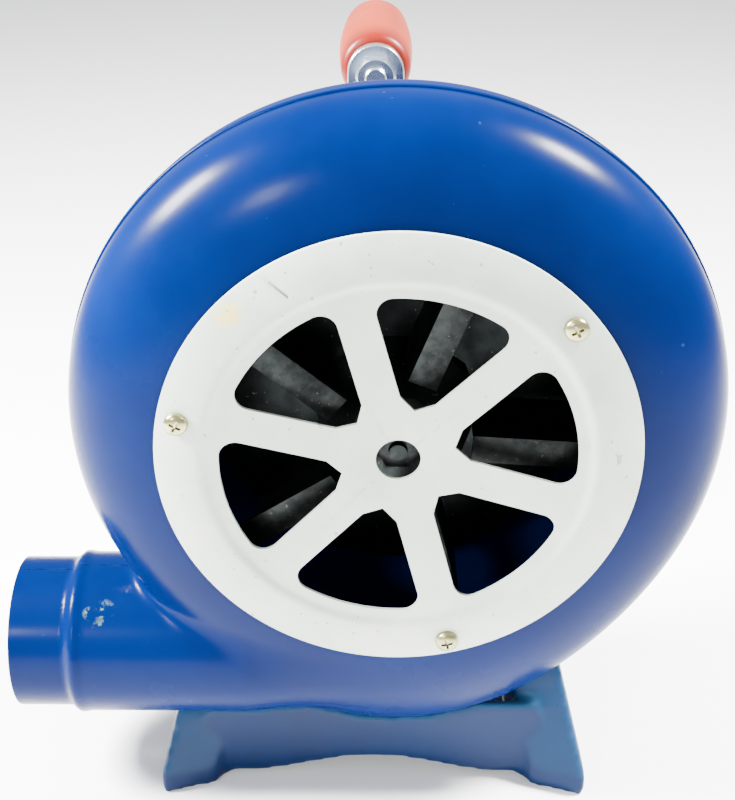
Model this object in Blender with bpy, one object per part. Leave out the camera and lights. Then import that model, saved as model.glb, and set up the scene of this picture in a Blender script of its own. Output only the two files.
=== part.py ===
"""Hand-cranked centrifugal blower: pressed-steel scroll on a cast gearcase stand, metres, +Z up.

The crank at the back turns the fan sixteen times as fast through two pairs of spur gears.
Every piece is placed from the fan axis: X to the right, Y from the inlet guard to the crank.
"""
import math

import bmesh
import bpy
from mathutils import Matrix, Vector

MM = 0.001

# Clearances
GAP = 0.3 * MM                  # between pieces that touch, and all round a shaft in its bush
SADDLE_GAP = 1.2 * MM           # between the scroll and the stand under it
THREAD_GAP = 0.4 * MM           # round a screw in its hole

# Inlet guard
GUARD_R = 81 * MM
GUARD_T = 1.2 * MM
GUARD_FLANGE_R = 66 * MM        # inner edge of the flat flange
GUARD_STEP = 1.0 * MM           # from the flange back to the rim of the dish
GUARD_DISH_R = 63 * MM
GUARD_DISH = 2.2 * MM           # how far the dish falls from its rim to its hole
GUARD_HOLE_R = 7.5 * MM
WINDOW_COUNT = 6
WINDOW_R = 59.5 * MM
WINDOW_CORNER_R = 5.5 * MM
WINDOW_INNER_R = 24 * MM
WINDOW_VERTEX_R = 19.4 * MM
SPOKE_HALF = 6.4 * MM
SPOKE_ANGLE = 44.8
GUARD_SCREW_PCR = 74.2 * MM
GUARD_SCREW_ANGLES = (42, 168, 284)

# Scroll: two pressed half shells that meet at a seam plane
WALL = 1.5 * MM
SCROLL_R = 114.5 * MM
SCROLL_RISE = 2.2 * MM          # the round part's centre above the fan axis
SCROLL_SWELL = 17 * MM        # how far the scroll grows at its fullest angle
SCROLL_SWELL_ANGLE = -90
SCROLL_SWELL_POWER = 10
SCROLL_FLAT_R = 52 * MM
SCROLL_FRONT_Y = 0.3 * MM       # flat of the front shell, just behind the guard
FRONT_DOME = 32.7 * MM          # from the front flat to the seam
REAR_STRAIGHT = 6 * MM          # straight wall behind the seam
REAR_DOME = 26 * MM
DOME_POWER = 2.5                # 2 would be an ellipse; more is fuller at the shoulder
SCROLL_STEPS = 52
DOME_STEPS = 5
INLET_R = 67 * MM
SEAM_LIP = 0.8 * MM
SEAM_LIP_T = 2.4 * MM

# Outlet pipe, along -X at the bottom left
COLLAR_R = 28.3 * MM
NECK_R = 30.3 * MM
BEAD_R = 30.9 * MM
MOUTH_X = -142 * MM
BEAD_X = -119 * MM
OUTLET_SPLIT_X = BEAD_X + 4.4 * MM
NECK_TAPER_X = -55 * MM         # from here the neck sinks into the scroll
NECK_END_X = 40 * MM
NECK_END_R = 21 * MM
PIPE_Z = -94.7 * MM
PIPE_STEPS = 32

# Fan
FAN_R = 64 * MM
FAN_FRONT = 9.5 * MM
BLADE_W = 30 * MM
BLADE_T = 1.6 * MM
BLADE_COUNT = 5
BLADE_OFFSET = 5 * MM
BLADE_IN_R = 25 * MM
BLADE_LIP_W = 10 * MM           # width of the lip folded over along a blade's front edge
BLADE_ANGLE = 68.5
FAN_PLATE_T = 1.8 * MM
HUB_FRONT_R = 17 * MM
HUB_BACK_R = 30 * MM
HUB_FRONT = 15.5 * MM

# Shafts and bushes
FAN_SHAFT_R = 4 * MM
FAN_STUD_R = 3 * MM             # turned-down threaded end at the fan nut
PINION_SEAT_R = 2.5 * MM
FAN_BUSH_R = 7 * MM
FAN_BUSH_L = 9.5 * MM
IDLER_PIN_R = 2.5 * MM
CRANK_SHAFT_R = 6 * MM
CRANK_STUD_R = 5 * MM
CRANK_BUSH_R = 9 * MM

# Gears
MODULE = 1.0 * MM
WHEEL_TEETH = 48
PINION_TEETH = 12
FACE_W = 7.5 * MM
PRESSURE_ANGLE = 20
ADDENDUM = 0.8
DEDENDUM = 1.05
TOOTH_SHARE = 0.44              # tooth thickness over circular pitch; the rest is gap and backlash
UNDERCUT = 0.86                 # root width of a pinion tooth over its width at the base circle
CRANK_X = -8 * MM
CRANK_Z = 0.0

# Gearcase and its cover
CASE_R = 60 * MM
CASE_WALL = 3.2 * MM
CASE_FRONT_T = 3.6 * MM
CASE_DEPTH = 30 * MM
COVER_T = 3 * MM
FAN_BOSS_R = 11 * MM
FAN_BOSS_NOSE = 20.5 * MM         # how far the fan boss stands into the scroll
CRANK_BOSS_R = 13.5 * MM
CRANK_BOSS_L = 7 * MM
PIN_BOSS_R = 5.5 * MM
EAR_R = 6 * MM
EAR_PCR = 62 * MM
EAR_ANGLES = (45, 135, 225, 315)
SHELL_SCREW_PCR = 44 * MM
SHELL_SCREW_ANGLES = (90, 210, 330)

# Crank and grip
ARM_LENGTH = 102.4 * MM
ARM_W = 21 * MM
ARM_T = 4 * MM
ARM_HUB_R = 13 * MM
GRIP_R = 14.2 * MM
GRIP_END_R = 13 * MM
GRIP_L = 66 * MM
GRIP_BOLT_R = 4 * MM
COUNTERBORE_R = 9.2 * MM
COUNTERBORE_D = 9 * MM
BOLT_TAIL = 2 * MM              # thread showing past a nut

# Fasteners
SCREW_R = 2 * MM
SCREW_HEAD_R = 4 * MM
SCREW_HEAD_H = 2.8 * MM
SCREW_L = 9 * MM
SLOT_HALF = 0.55 * MM
SLOT_REACH = 2.1 * MM
SLOT_DEPTH = 1.5 * MM
NUT_FLATS = 13 * MM
NUT_H = 6.5 * MM
THIN_NUT_H = 4.5 * MM
WASHER_T = 1.6 * MM
WASHER_R = 8.5 * MM

# Stand
GROUND_Z = -157.8 * MM
BASE_HALF_W = 83 * MM           # toe edge from the stand's middle plane
LEG_W = 20.5 * MM
LEG_LEAN = 0.26                 # inward lean of the legs, X per Z
TOE_H = 8.3 * MM
TOE_SKEW = 6.4 * MM             # a toe's inner corner lies this far inside its outer one
FRONT_TOE_Y = 10 * MM
REAR_TOE_Y = 108 * MM
LEG_DEPTH = 16 * MM
LEG_SLOPE = 0.4                 # backward lean of a leg's face, Y per Z
LEG_TOP_Z = -100 * MM
REAR_LEG_TOP_Z = -124 * MM
WEB_SETBACK = 11 * MM
WEB_T = 4 * MM
ARCH_H = 8 * MM
ARCH_HALF = 46 * MM
WEB_LIFT = 2.2 * MM             # webs stop above the floor, so only the feet touch it
COLUMN_HALF_W = 38 * MM
DECK_Z = -121 * MM

# Derived places
GUARD_FRONT_Y = SCROLL_FRONT_Y - GUARD_T    # the dome has fallen away by a gap where the two overlap
GUARD_RIM_Y = GUARD_FRONT_Y + GUARD_STEP
GUARD_HOLE_Y = GUARD_RIM_Y + GUARD_DISH
SEAM_Y = SCROLL_FRONT_Y + FRONT_DOME
SHELL_BACK_Y = SEAM_Y + REAR_STRAIGHT + REAR_DOME
CASE_FRONT_Y = SHELL_BACK_Y + GAP
CASE_INNER_Y = CASE_FRONT_Y + CASE_FRONT_T
CASE_BACK_Y = CASE_FRONT_Y + CASE_DEPTH
COVER_Y = CASE_BACK_Y + GAP
COVER_BACK_Y = COVER_Y + COVER_T
CENTRE_DISTANCE = MODULE * (WHEEL_TEETH + PINION_TEETH) / 2
FAN_PLATE_Y = FAN_FRONT + BLADE_W
FAN_BACK_Y = FAN_PLATE_Y + FAN_PLATE_T
FAN_BOSS_Y = CASE_FRONT_Y - FAN_BOSS_NOSE
FAN_BOSS_END = CASE_INNER_Y + 3.5 * MM
STAGE_2_Y = FAN_BOSS_END + 1.5 * MM
STAGE_1_Y = STAGE_2_Y + FACE_W + 2.2 * MM
CRANK_BOSS_END = COVER_BACK_Y + CRANK_BOSS_L
CRANK_BOSS_INNER = STAGE_1_Y + FACE_W + 1.2 * MM
ARM_Y = CRANK_BOSS_END + 1.4 * MM
GRIP_Y = ARM_Y + ARM_T + GAP + WASHER_T + GAP
GRIP_HEAD_Y = GRIP_Y + GRIP_L - COUNTERBORE_D + GAP + WASHER_T + GAP
BASE_X = CRANK_X
IDLER_X = CRANK_X / 2
IDLER_Z = CRANK_Z - math.sqrt(CENTRE_DISTANCE ** 2 - IDLER_X ** 2)

# The model's own origin is under the middle of its box, on the floor
BOX_LOW_Y = GUARD_FRONT_Y - GAP - SCREW_HEAD_H
BOX_HIGH_Y = GRIP_Y + GRIP_L


def scroll_radius(angle):
    """Outer radius of the scroll at an angle in degrees from +X towards +Z."""
    share = (1 + math.cos(math.radians(angle - SCROLL_SWELL_ANGLE))) / 2
    return SCROLL_R + SCROLL_SWELL * share ** SCROLL_SWELL_POWER


BOX_HIGH_X = scroll_radius(0) + SEAM_LIP
ORIGIN_SHIFT = Vector((-(MOUTH_X + BOX_HIGH_X) / 2, -(BOX_LOW_Y + BOX_HIGH_Y) / 2, -GROUND_Z))

# Paint and metal: colour, roughness, metallic
FINISHES = {
    "blue_enamel": ((0.012, 0.085, 0.42), 0.22, 0.0),
    "guard_paint": ((0.74, 0.76, 0.68), 0.4, 0.0),
    "cast_alloy": ((0.36, 0.40, 0.37), 0.5, 0.9),
    "zinc": ((0.62, 0.68, 0.70), 0.3, 1.0),
    "yellow_zinc": ((0.66, 0.60, 0.36), 0.32, 1.0),
    "steel": ((0.45, 0.46, 0.47), 0.35, 1.0),
    "bronze": ((0.55, 0.36, 0.17), 0.4, 1.0),
    "orange_grip": ((0.82, 0.17, 0.07), 0.38, 0.0),
}


def clear_scene():
    """Remove every object that the file opened with."""
    for old in list(bpy.data.objects):
        bpy.data.objects.remove(old)


def finish_material(finish):
    """Return the Principled material of a named finish, made once."""
    material = bpy.data.materials.get(finish)
    if material:
        return material
    colour, roughness, metallic = FINISHES[finish]
    material = bpy.data.materials.new(finish)
    material.use_nodes = True
    shader = material.node_tree.nodes["Principled BSDF"]
    shader.inputs["Base Color"].default_value = (*colour, 1)
    shader.inputs["Roughness"].default_value = roughness
    shader.inputs["Metallic"].default_value = metallic
    return material


def new_object(name, bm):
    """Close a bmesh into a linked object with its faces pointing out."""
    bmesh.ops.recalc_face_normals(bm, faces=bm.faces)
    mesh = bpy.data.meshes.new(name)
    bm.to_mesh(mesh)
    bm.free()
    thing = bpy.data.objects.new(name, mesh)
    bpy.context.collection.objects.link(thing)
    return thing


def turned(profile, centre=(0.0, 0.0), steps=24):
    """Turn (radius, y) points about the Y axis through centre, as a closed solid."""
    bm = bmesh.new()
    points = [bm.verts.new((r, y, 0)) for r, y in profile]
    on_axis = profile[0][0] == 0 and profile[-1][0] == 0
    pairs = list(zip(points, points[1:]))
    if not on_axis:
        pairs.append((points[-1], points[0]))
    edges = [bm.edges.new(pair) for pair in pairs]
    bmesh.ops.spin(bm, geom=points + edges, cent=(0, 0, 0), axis=(0, 1, 0), dvec=(0, 0, 0),
                   angle=2 * math.pi, steps=steps, use_merge=True, use_duplicate=False)
    bmesh.ops.remove_doubles(bm, verts=bm.verts, dist=MM / 1000)
    bmesh.ops.translate(bm, verts=bm.verts, vec=(centre[0], 0, centre[1]))
    return new_object("turned", bm)


def rod(radius, y0, y1, centre=(0.0, 0.0), steps=20):
    """Make a plain cylinder along Y."""
    return turned([(0, y0), (radius, y0), (radius, y1), (0, y1)], centre, steps)


def tube(outer, inner, y0, y1, centre=(0.0, 0.0), steps=20):
    """Make a ring with a round bore along Y."""
    return turned([(inner, y0), (outer, y0), (outer, y1), (inner, y1)], centre, steps)


def prism(outline, y0, y1):
    """Extrude a flat outline of (x, z) points from y0 to y1."""
    bm = bmesh.new()
    face = bm.faces.new([bm.verts.new((x, y0, z)) for x, z in outline])
    grown = bmesh.ops.extrude_face_region(bm, geom=[face])["geom"]
    moved = [item for item in grown if isinstance(item, bmesh.types.BMVert)]
    bmesh.ops.translate(bm, verts=moved, vec=(0, y1 - y0, 0))
    return new_object("prism", bm)


def loft(rings):
    """Bridge equal rings of points in order, and cap both ends."""
    bm = bmesh.new()
    loops = []
    for ring in rings:
        points = [bm.verts.new(point) for point in ring]
        following = points[1:] + points[:1]
        loops.append([bm.edges.new(pair) for pair in zip(points, following)])
    for lower, upper in zip(loops, loops[1:]):
        bmesh.ops.bridge_loops(bm, edges=lower + upper)
    for loop in (loops[0], loops[-1]):
        bmesh.ops.contextual_create(bm, geom=loop)
    return new_object("loft", bm)


def block(low, high):
    """Make a box between two corners."""
    bm = bmesh.new()
    bmesh.ops.create_cube(bm, size=1)
    size = Vector(high) - Vector(low)
    middle = (Vector(high) + Vector(low)) / 2
    bmesh.ops.transform(bm, matrix=Matrix.Translation(middle) @ Matrix.Diagonal((*size, 1)), verts=bm.verts)
    return new_object("block", bm)


def combine(target, tool, operation):
    """Apply an exact Boolean of tool on target, and remove tool."""
    modifier = target.modifiers.new("combine", "BOOLEAN")
    modifier.operation = operation
    modifier.solver = "EXACT"
    modifier.object = tool
    bpy.context.view_layer.update()
    evaluated = target.evaluated_get(bpy.context.evaluated_depsgraph_get())
    mesh = bpy.data.meshes.new_from_object(evaluated)
    target.modifiers.clear()
    target.data = mesh
    bpy.data.objects.remove(tool)
    return target


def cut(target, *tools):
    """Cut each tool out of target."""
    for tool in tools:
        combine(target, tool, "DIFFERENCE")
    return target


def join(target, *others):
    """Unite each other solid with target."""
    for other in others:
        combine(target, other, "UNION")
    return target


def keep(target, tool):
    """Keep only what target shares with tool."""
    return combine(target, tool, "INTERSECT")


def tidy_mesh(thing):
    """Merge stray doubles that a Boolean leaves, and drop edges with no length."""
    bm = bmesh.new()
    bm.from_mesh(thing.data)
    bmesh.ops.remove_doubles(bm, verts=bm.verts, dist=MM / 500)
    bmesh.ops.dissolve_degenerate(bm, edges=bm.edges, dist=MM / 1000)
    bm.to_mesh(thing.data)
    bm.free()


def finished(thing, name, finish, parent, pivot=(0.0, 0.0, 0.0)):
    """Name, paint and parent a solid, with its origin on its own pivot."""
    tidy_mesh(thing)
    thing.name = name
    thing.data.name = name
    thing.data.transform(Matrix.Translation(-Vector(pivot)))
    thing.location = pivot
    thing.parent = parent
    thing.data.materials.clear()
    thing.data.materials.append(finish_material(finish))
    thing.data.shade_smooth()
    thing.data.set_sharp_from_angle(angle=math.radians(35))
    return thing


def polar(radius, angle, centre=(0.0, 0.0)):
    """Return the (x, z) point at a radius and an angle in degrees from +X towards +Z."""
    turn = math.radians(angle)
    return centre[0] + radius * math.cos(turn), centre[1] + radius * math.sin(turn)


def turned_point(point, angle):
    """Turn an (x, z) point about the fan axis by an angle in degrees from +X towards +Z."""
    x, z = point
    turn = math.radians(angle)
    return x * math.cos(turn) - z * math.sin(turn), x * math.sin(turn) + z * math.cos(turn)


def window_outline(middle_angle):
    """Outline one guard window: two sides along the spokes, a rounded rim and a shallow V inside."""
    half = 180 / WINDOW_COUNT
    fillet_r = WINDOW_R - WINDOW_CORNER_R
    fillet_off = SPOKE_HALF + WINDOW_CORNER_R
    along = math.sqrt(fillet_r ** 2 - fillet_off ** 2)
    inner_along = math.sqrt(WINDOW_INNER_R ** 2 - SPOKE_HALF ** 2)
    lean = math.degrees(math.atan2(fillet_off, along))
    points = [(WINDOW_VERTEX_R, 0.0)]
    inner_turn = math.degrees(math.atan2(SPOKE_HALF, inner_along))
    points.append((math.hypot(inner_along, SPOKE_HALF), half - inner_turn))
    start = half + 90
    end = half - lean
    centre = polar(fillet_r, half - lean)
    flat = [polar(*point) for point in points]
    corner_steps = 4
    for step in range(corner_steps + 1):
        angle = start + (end - start) * step / corner_steps
        flat.append(polar(WINDOW_CORNER_R, angle, centre))
    rim_steps = 6
    for step in range(1, rim_steps):
        flat.append(polar(WINDOW_R, end - 2 * end * step / rim_steps))
    mirrored = [(x, -z) for x, z in flat[1:corner_steps + 3]]
    flat += mirrored[::-1]
    return [turned_point(point, middle_angle) for point in flat]


def make_guard(parent):
    """Inlet guard: a painted disc with a flat flange, a dished middle and six windows."""
    front, rim, hole = GUARD_FRONT_Y, GUARD_RIM_Y, GUARD_HOLE_Y
    bend = GUARD_T / 2
    guard = turned([(GUARD_HOLE_R, hole), (GUARD_DISH_R, rim), (GUARD_FLANGE_R, front), (GUARD_R, front),
                    (GUARD_R, front + GUARD_T), (GUARD_FLANGE_R + bend, front + GUARD_T),
                    (GUARD_DISH_R + bend, rim + GUARD_T), (GUARD_HOLE_R, hole + GUARD_T)], steps=60)
    for index in range(WINDOW_COUNT):
        middle = SPOKE_ANGLE + 360 / WINDOW_COUNT * (index + 0.5)
        cut(guard, prism(window_outline(middle), front - MM, hole + 2 * GUARD_T))
    for angle in GUARD_SCREW_ANGLES:
        centre = polar(GUARD_SCREW_PCR, angle)
        cut(guard, rod(SCREW_R + THREAD_GAP, front - MM, front + 2 * GUARD_T, centre, 12))
    finished(guard, "inlet_guard", "guard_paint", parent)


def pan_screw(centre, head_y, direction, length):
    """Pan-head screw with a cross recess; its head stands from head_y against direction."""
    def y(distance):
        return head_y + direction * distance
    profile = [(0, y(-SCREW_HEAD_H)), (0.55 * SCREW_HEAD_R, y(-SCREW_HEAD_H)),
               (0.9 * SCREW_HEAD_R, y(-0.72 * SCREW_HEAD_H)), (SCREW_HEAD_R, y(-0.35 * SCREW_HEAD_H)),
               (SCREW_HEAD_R, y(0)), (SCREW_R, y(0)), (SCREW_R, y(length)), (0, y(length))]
    screw = turned(profile, centre, 12)
    top = y(-SCREW_HEAD_H) - direction * MM
    floor = y(-SCREW_HEAD_H + SLOT_DEPTH)
    low, high = min(top, floor), max(top, floor)
    for reach_x, reach_z in ((SLOT_REACH, SLOT_HALF), (SLOT_HALF, SLOT_REACH)):
        x, z = centre
        cut(screw, block((x - reach_x, low, z - reach_z), (x + reach_x, high, z + reach_z)))
    return screw


def hex_points(flats, centre, phase=0):
    """Corners of a hexagon of a width across flats."""
    return [polar(flats / math.sqrt(3), 60 * corner + phase, centre) for corner in range(6)]


def nut(centre, y0, height, bore_r):
    """Hexagon nut with a plain bore."""
    body = prism(hex_points(NUT_FLATS, centre), y0, y0 + height)
    return cut(body, rod(bore_r, y0 - MM, y0 + height + MM, centre))


def scroll_solid(inset):
    """Closed scroll body, inset all over by a wall: front dome, straight rear wall and rear dome."""
    angles = [360 * step / SCROLL_STEPS for step in range(SCROLL_STEPS)]
    stations = []
    for step in range(DOME_STEPS + 1):
        bulge = math.pi / 2 * step / DOME_STEPS
        stations.append((math.sin(bulge) ** (2 / DOME_POWER), math.cos(bulge) ** (2 / DOME_POWER)))
    places = [(out, SEAM_Y - (FRONT_DOME - inset) * along) for out, along in stations]
    rear_y = SEAM_Y + REAR_STRAIGHT
    places += [(out, rear_y + (REAR_DOME - inset) * along) for out, along in reversed(stations)]
    rings = []
    for out, y in places:
        ring = []
        for angle in angles:
            dome = scroll_radius(angle) - inset - SCROLL_FLAT_R
            x, z = polar(SCROLL_FLAT_R + dome * out, angle)
            ring.append((x, y, z + SCROLL_RISE * out))
        rings.append(ring)
    return loft(rings)


def pipe_solid(inset, mouth_x):
    """Outlet pipe turned about its own axis along X: collar, bead and neck."""
    stations = [(mouth_x, COLLAR_R), (BEAD_X - 2.6 * MM, COLLAR_R), (BEAD_X - 0.6 * MM, BEAD_R),
                (BEAD_X + 1.4 * MM, BEAD_R), (BEAD_X + 3.4 * MM, NECK_R), (NECK_TAPER_X, NECK_R),
                (NECK_END_X, NECK_END_R)]
    rings = []
    for x, radius in stations:
        ring = []
        for step in range(PIPE_STEPS):
            across, up = polar(radius - inset, 360 * (step + 0.5) / PIPE_STEPS)
            ring.append((x, SEAM_Y + across, PIPE_Z + up))
        rings.append(ring)
    return loft(rings)


def seam_lip(margin):
    """Disc of the rear shell's turned-out lip, grown all round by a margin."""
    rings = []
    for y in (SEAM_Y + GAP / 2 - margin, SEAM_Y + GAP / 2 + SEAM_LIP_T + margin):
        ring = []
        for step in range(SCROLL_STEPS):
            angle = 360 * step / SCROLL_STEPS
            x, z = polar(scroll_radius(angle) + SEAM_LIP + margin, angle)
            ring.append((x, y, z + SCROLL_RISE))
        rings.append(ring)
    return loft(rings)


def air_space():
    """The hollow that both shells close in, open at the outlet mouth."""
    return join(scroll_solid(WALL), pipe_solid(WALL, MOUTH_X - MM))


def make_front_shell(node, low_x, high_x, parent):
    """The front pressing between two upright planes across X."""
    reach = 1.5 * (SCROLL_R + SCROLL_SWELL)
    front = join(scroll_solid(0), pipe_solid(0, MOUTH_X))
    keep(front, block((low_x, -reach, -reach), (high_x, SEAM_Y - GAP / 2, reach)))
    cut(front, air_space(), rod(INLET_R, 0, SEAM_Y / 2, steps=52))
    for angle in GUARD_SCREW_ANGLES:
        cut(front, rod(SCREW_R + THREAD_GAP, 0, SEAM_Y / 2, polar(GUARD_SCREW_PCR, angle), 12))
    finished(front, node, "blue_enamel", parent)


def make_shells(parent):
    """Front and rear halves of the scroll with their halves of the outlet.

    The front one is held as three nodes, so that each keeps its collision close to its bend.
    """
    reach = 1.5 * (SCROLL_R + SCROLL_SWELL)
    make_front_shell("outlet_front", -reach, OUTLET_SPLIT_X - GAP / 2, parent)
    make_front_shell("front_shell", OUTLET_SPLIT_X + GAP / 2, -GAP / 2, parent)
    make_front_shell("front_shell_right", GAP / 2, reach, parent)

    rear = join(scroll_solid(0), pipe_solid(0, MOUTH_X))
    keep(rear, block((-reach, SEAM_Y + GAP / 2, -reach), (reach, reach, reach)))
    join(rear, seam_lip(0))
    cut(rear, air_space(), rod(FAN_BOSS_R + GAP, SEAM_Y, CASE_FRONT_Y))
    for centre in shell_screw_places():
        cut(rear, rod(SCREW_R + THREAD_GAP, SEAM_Y, CASE_FRONT_Y, centre, 12))
    finished(rear, "rear_shell", "blue_enamel", parent)


def shell_screw_places():
    """Centres of the screws that hold the rear shell to the gearcase."""
    return [polar(SHELL_SCREW_PCR, angle, (CRANK_X, CRANK_Z)) for angle in SHELL_SCREW_ANGLES]


def ear_places():
    """Centres of the cover screws."""
    return [polar(EAR_PCR, angle, (CRANK_X, CRANK_Z)) for angle in EAR_ANGLES]


def blade(angle):
    """One straight fan blade, set off from the radius, with a lip folded over at its front."""
    far = BLADE_OFFSET + BLADE_T
    lip = far - BLADE_LIP_W
    outer = math.sqrt(FAN_R ** 2 - far ** 2)
    root_y = FAN_PLATE_Y + FAN_PLATE_T / 2
    section = [(BLADE_OFFSET, root_y), (far, root_y), (far, FAN_FRONT), (lip, FAN_FRONT),
               (lip, FAN_FRONT + BLADE_T), (BLADE_OFFSET, FAN_FRONT + BLADE_T)]
    rings = []
    for x in (BLADE_IN_R, outer):
        ring = []
        for z, y in section:
            across, up = turned_point((x, z), angle)
            ring.append((across, y, up))
        rings.append(ring)
    return loft(rings)


def make_impeller(parent):
    """Fan wheel: back plate, faceted hub and straight blades with folded front lips."""
    wheel = rod(FAN_R, FAN_PLATE_Y, FAN_BACK_Y, steps=60)
    hub = turned([(0, HUB_FRONT), (HUB_FRONT_R, HUB_FRONT), (HUB_BACK_R, FAN_PLATE_Y + FAN_PLATE_T / 2),
                  (0, FAN_PLATE_Y + FAN_PLATE_T / 2)], steps=2 * BLADE_COUNT)
    join(wheel, hub)
    for index in range(BLADE_COUNT):
        join(wheel, blade(BLADE_ANGLE + 360 / BLADE_COUNT * index))
    cut(wheel, rod(FAN_SHAFT_R + GAP, FAN_FRONT, FAN_BACK_Y + MM))
    finished(wheel, "impeller", "cast_alloy", parent)


def make_fan_shaft(parent):
    """Fan shaft with its washer and nut, two bushes and a pinion."""
    shoulder = HUB_FRONT - GAP
    nut_y = shoulder - WASHER_T - GAP - THIN_NUT_H
    shaft = turned([(0, nut_y - BOLT_TAIL), (FAN_STUD_R, nut_y - BOLT_TAIL), (FAN_STUD_R, HUB_FRONT + MM),
                    (FAN_SHAFT_R, HUB_FRONT + MM), (FAN_SHAFT_R, STAGE_2_Y - GAP),
                    (PINION_SEAT_R, STAGE_2_Y - GAP), (PINION_SEAT_R, STAGE_2_Y + FACE_W + MM / 2),
                    (0, STAGE_2_Y + FACE_W + MM / 2)])
    finished(shaft, "fan_shaft", "steel", parent)
    washer = tube(WASHER_R, FAN_STUD_R + GAP, shoulder - WASHER_T, shoulder)
    finished(washer, "fan_washer", "zinc", parent)
    finished(nut((0, 0), nut_y, THIN_NUT_H, FAN_STUD_R + GAP), "fan_nut", "zinc", parent)


def make_fan_bushes(parent):
    """Two sintered bushes at the ends of the gearcase's fan boss."""
    for name, start in (("fan_bush_front", FAN_BOSS_Y), ("fan_bush_rear", FAN_BOSS_END - FAN_BUSH_L)):
        bush = tube(FAN_BUSH_R, FAN_SHAFT_R + GAP, start, start + FAN_BUSH_L, steps=24)
        finished(bush, name, "bronze", parent)


def involute_angle(radius, base):
    """Polar angle of an involute at a radius, from its start on the base circle."""
    if radius <= base:
        return 0.0
    pressure = math.acos(base / radius)
    return math.tan(pressure) - pressure


def gear_outline(teeth, phase, centre):
    """Involute spur gear outline with a tooth centred on the phase angle in degrees."""
    pitch_r = MODULE * teeth / 2
    base = pitch_r * math.cos(math.radians(PRESSURE_ANGLE))
    root = pitch_r - DEDENDUM * MODULE
    tip = pitch_r + ADDENDUM * MODULE
    half = math.pi / teeth * TOOTH_SHARE + involute_angle(pitch_r, base)
    if root < base:
        flank = [root, base, (base + tip) / 2, tip]
    else:
        flank = [root, (root + tip) / 2, tip]
    side = [(radius, half - involute_angle(radius, base)) for radius in flank]
    if root < base:
        side[0] = (root, half * UNDERCUT)
    outline = []
    for tooth in range(teeth):
        middle = phase + 360 * tooth / teeth
        for radius, angle in side:
            outline.append(polar(radius, middle - math.degrees(angle), centre))
        for radius, angle in reversed(side):
            outline.append(polar(radius, middle + math.degrees(angle), centre))
    return outline


def mesh_angle(start, end):
    """Direction in degrees from one gear centre to another."""
    return math.degrees(math.atan2(end[1] - start[1], end[0] - start[0]))


def make_gears(crank, idler, fan):
    """Two gear pairs: crank wheel on idler pinion, idler wheel on fan pinion."""
    crank_at, idler_at, fan_at = (CRANK_X, CRANK_Z), (IDLER_X, IDLER_Z), (0.0, 0.0)
    first = mesh_angle(crank_at, idler_at)
    second = mesh_angle(idler_at, fan_at)
    half_pinion = 180 / PINION_TEETH
    wheel_1 = prism(gear_outline(WHEEL_TEETH, first, crank_at), STAGE_1_Y, STAGE_1_Y + FACE_W)
    cut(wheel_1, rod(CRANK_SHAFT_R + GAP, STAGE_1_Y - MM, STAGE_1_Y + FACE_W + MM, crank_at))
    finished(wheel_1, "crank_gear", "steel", crank, (CRANK_X, 0, CRANK_Z))

    sleeve_r = PINION_TEETH * MODULE / 2
    pinion = prism(gear_outline(PINION_TEETH, first + 180 + half_pinion, idler_at), STAGE_1_Y - MM,
                   STAGE_1_Y + FACE_W + MM / 2)
    join(pinion, rod(sleeve_r, STAGE_2_Y - MM / 2, STAGE_1_Y - MM / 2, idler_at))
    cut(pinion, rod(IDLER_PIN_R + GAP, STAGE_2_Y - 2 * MM, STAGE_1_Y + FACE_W + 2 * MM, idler_at))
    finished(pinion, "idler_pinion", "steel", idler, (IDLER_X, 0, IDLER_Z))

    wheel_2 = prism(gear_outline(WHEEL_TEETH, second, idler_at), STAGE_2_Y, STAGE_2_Y + FACE_W)
    cut(wheel_2, rod(sleeve_r + GAP, STAGE_2_Y - MM, STAGE_2_Y + FACE_W + MM, idler_at))
    finished(wheel_2, "idler_gear", "steel", idler, (IDLER_X, 0, IDLER_Z))

    driven = prism(gear_outline(PINION_TEETH, second + 180 + half_pinion, fan_at), STAGE_2_Y,
                   STAGE_2_Y + FACE_W)
    cut(driven, rod(PINION_SEAT_R + GAP, STAGE_2_Y - MM, STAGE_2_Y + FACE_W + MM, fan_at))
    finished(driven, "fan_pinion", "steel", fan)


def make_idler_pin(parent):
    """Fixed pin that the idler turns on, held in the case and in the cover."""
    pin = rod(IDLER_PIN_R, CASE_FRONT_Y + GAP, COVER_BACK_Y - GAP, (IDLER_X, IDLER_Z))
    finished(pin, "idler_pin", "steel", parent)


def leg(side, toe_y, inward, top_z):
    """One splayed leg: upright toe, then a face that leans back and in towards the stand."""
    def x_range(z):
        lean = LEG_LEAN * (z - GROUND_Z - TOE_H) if z > GROUND_Z + TOE_H else 0
        return BASE_HALF_W - LEG_W - lean, BASE_HALF_W - lean
    rings = []
    for z in (GROUND_Z, GROUND_Z + TOE_H, top_z):
        inner, outer = x_range(z)
        front = toe_y + inward * LEG_SLOPE * max(0, z - GROUND_Z - TOE_H)
        back = toe_y + inward * (LEG_DEPTH + LEG_SLOPE * max(0, z - GROUND_Z - TOE_H))
        spread = 0.35 * LEG_W
        inner_front = front + inward * TOE_SKEW
        rings.append([(BASE_X + side * inner, inner_front, z), (BASE_X + side * outer, front, z),
                      (BASE_X + side * outer, back, z), (BASE_X + side * (inner - spread), back, z)])
    return loft(rings)


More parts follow.
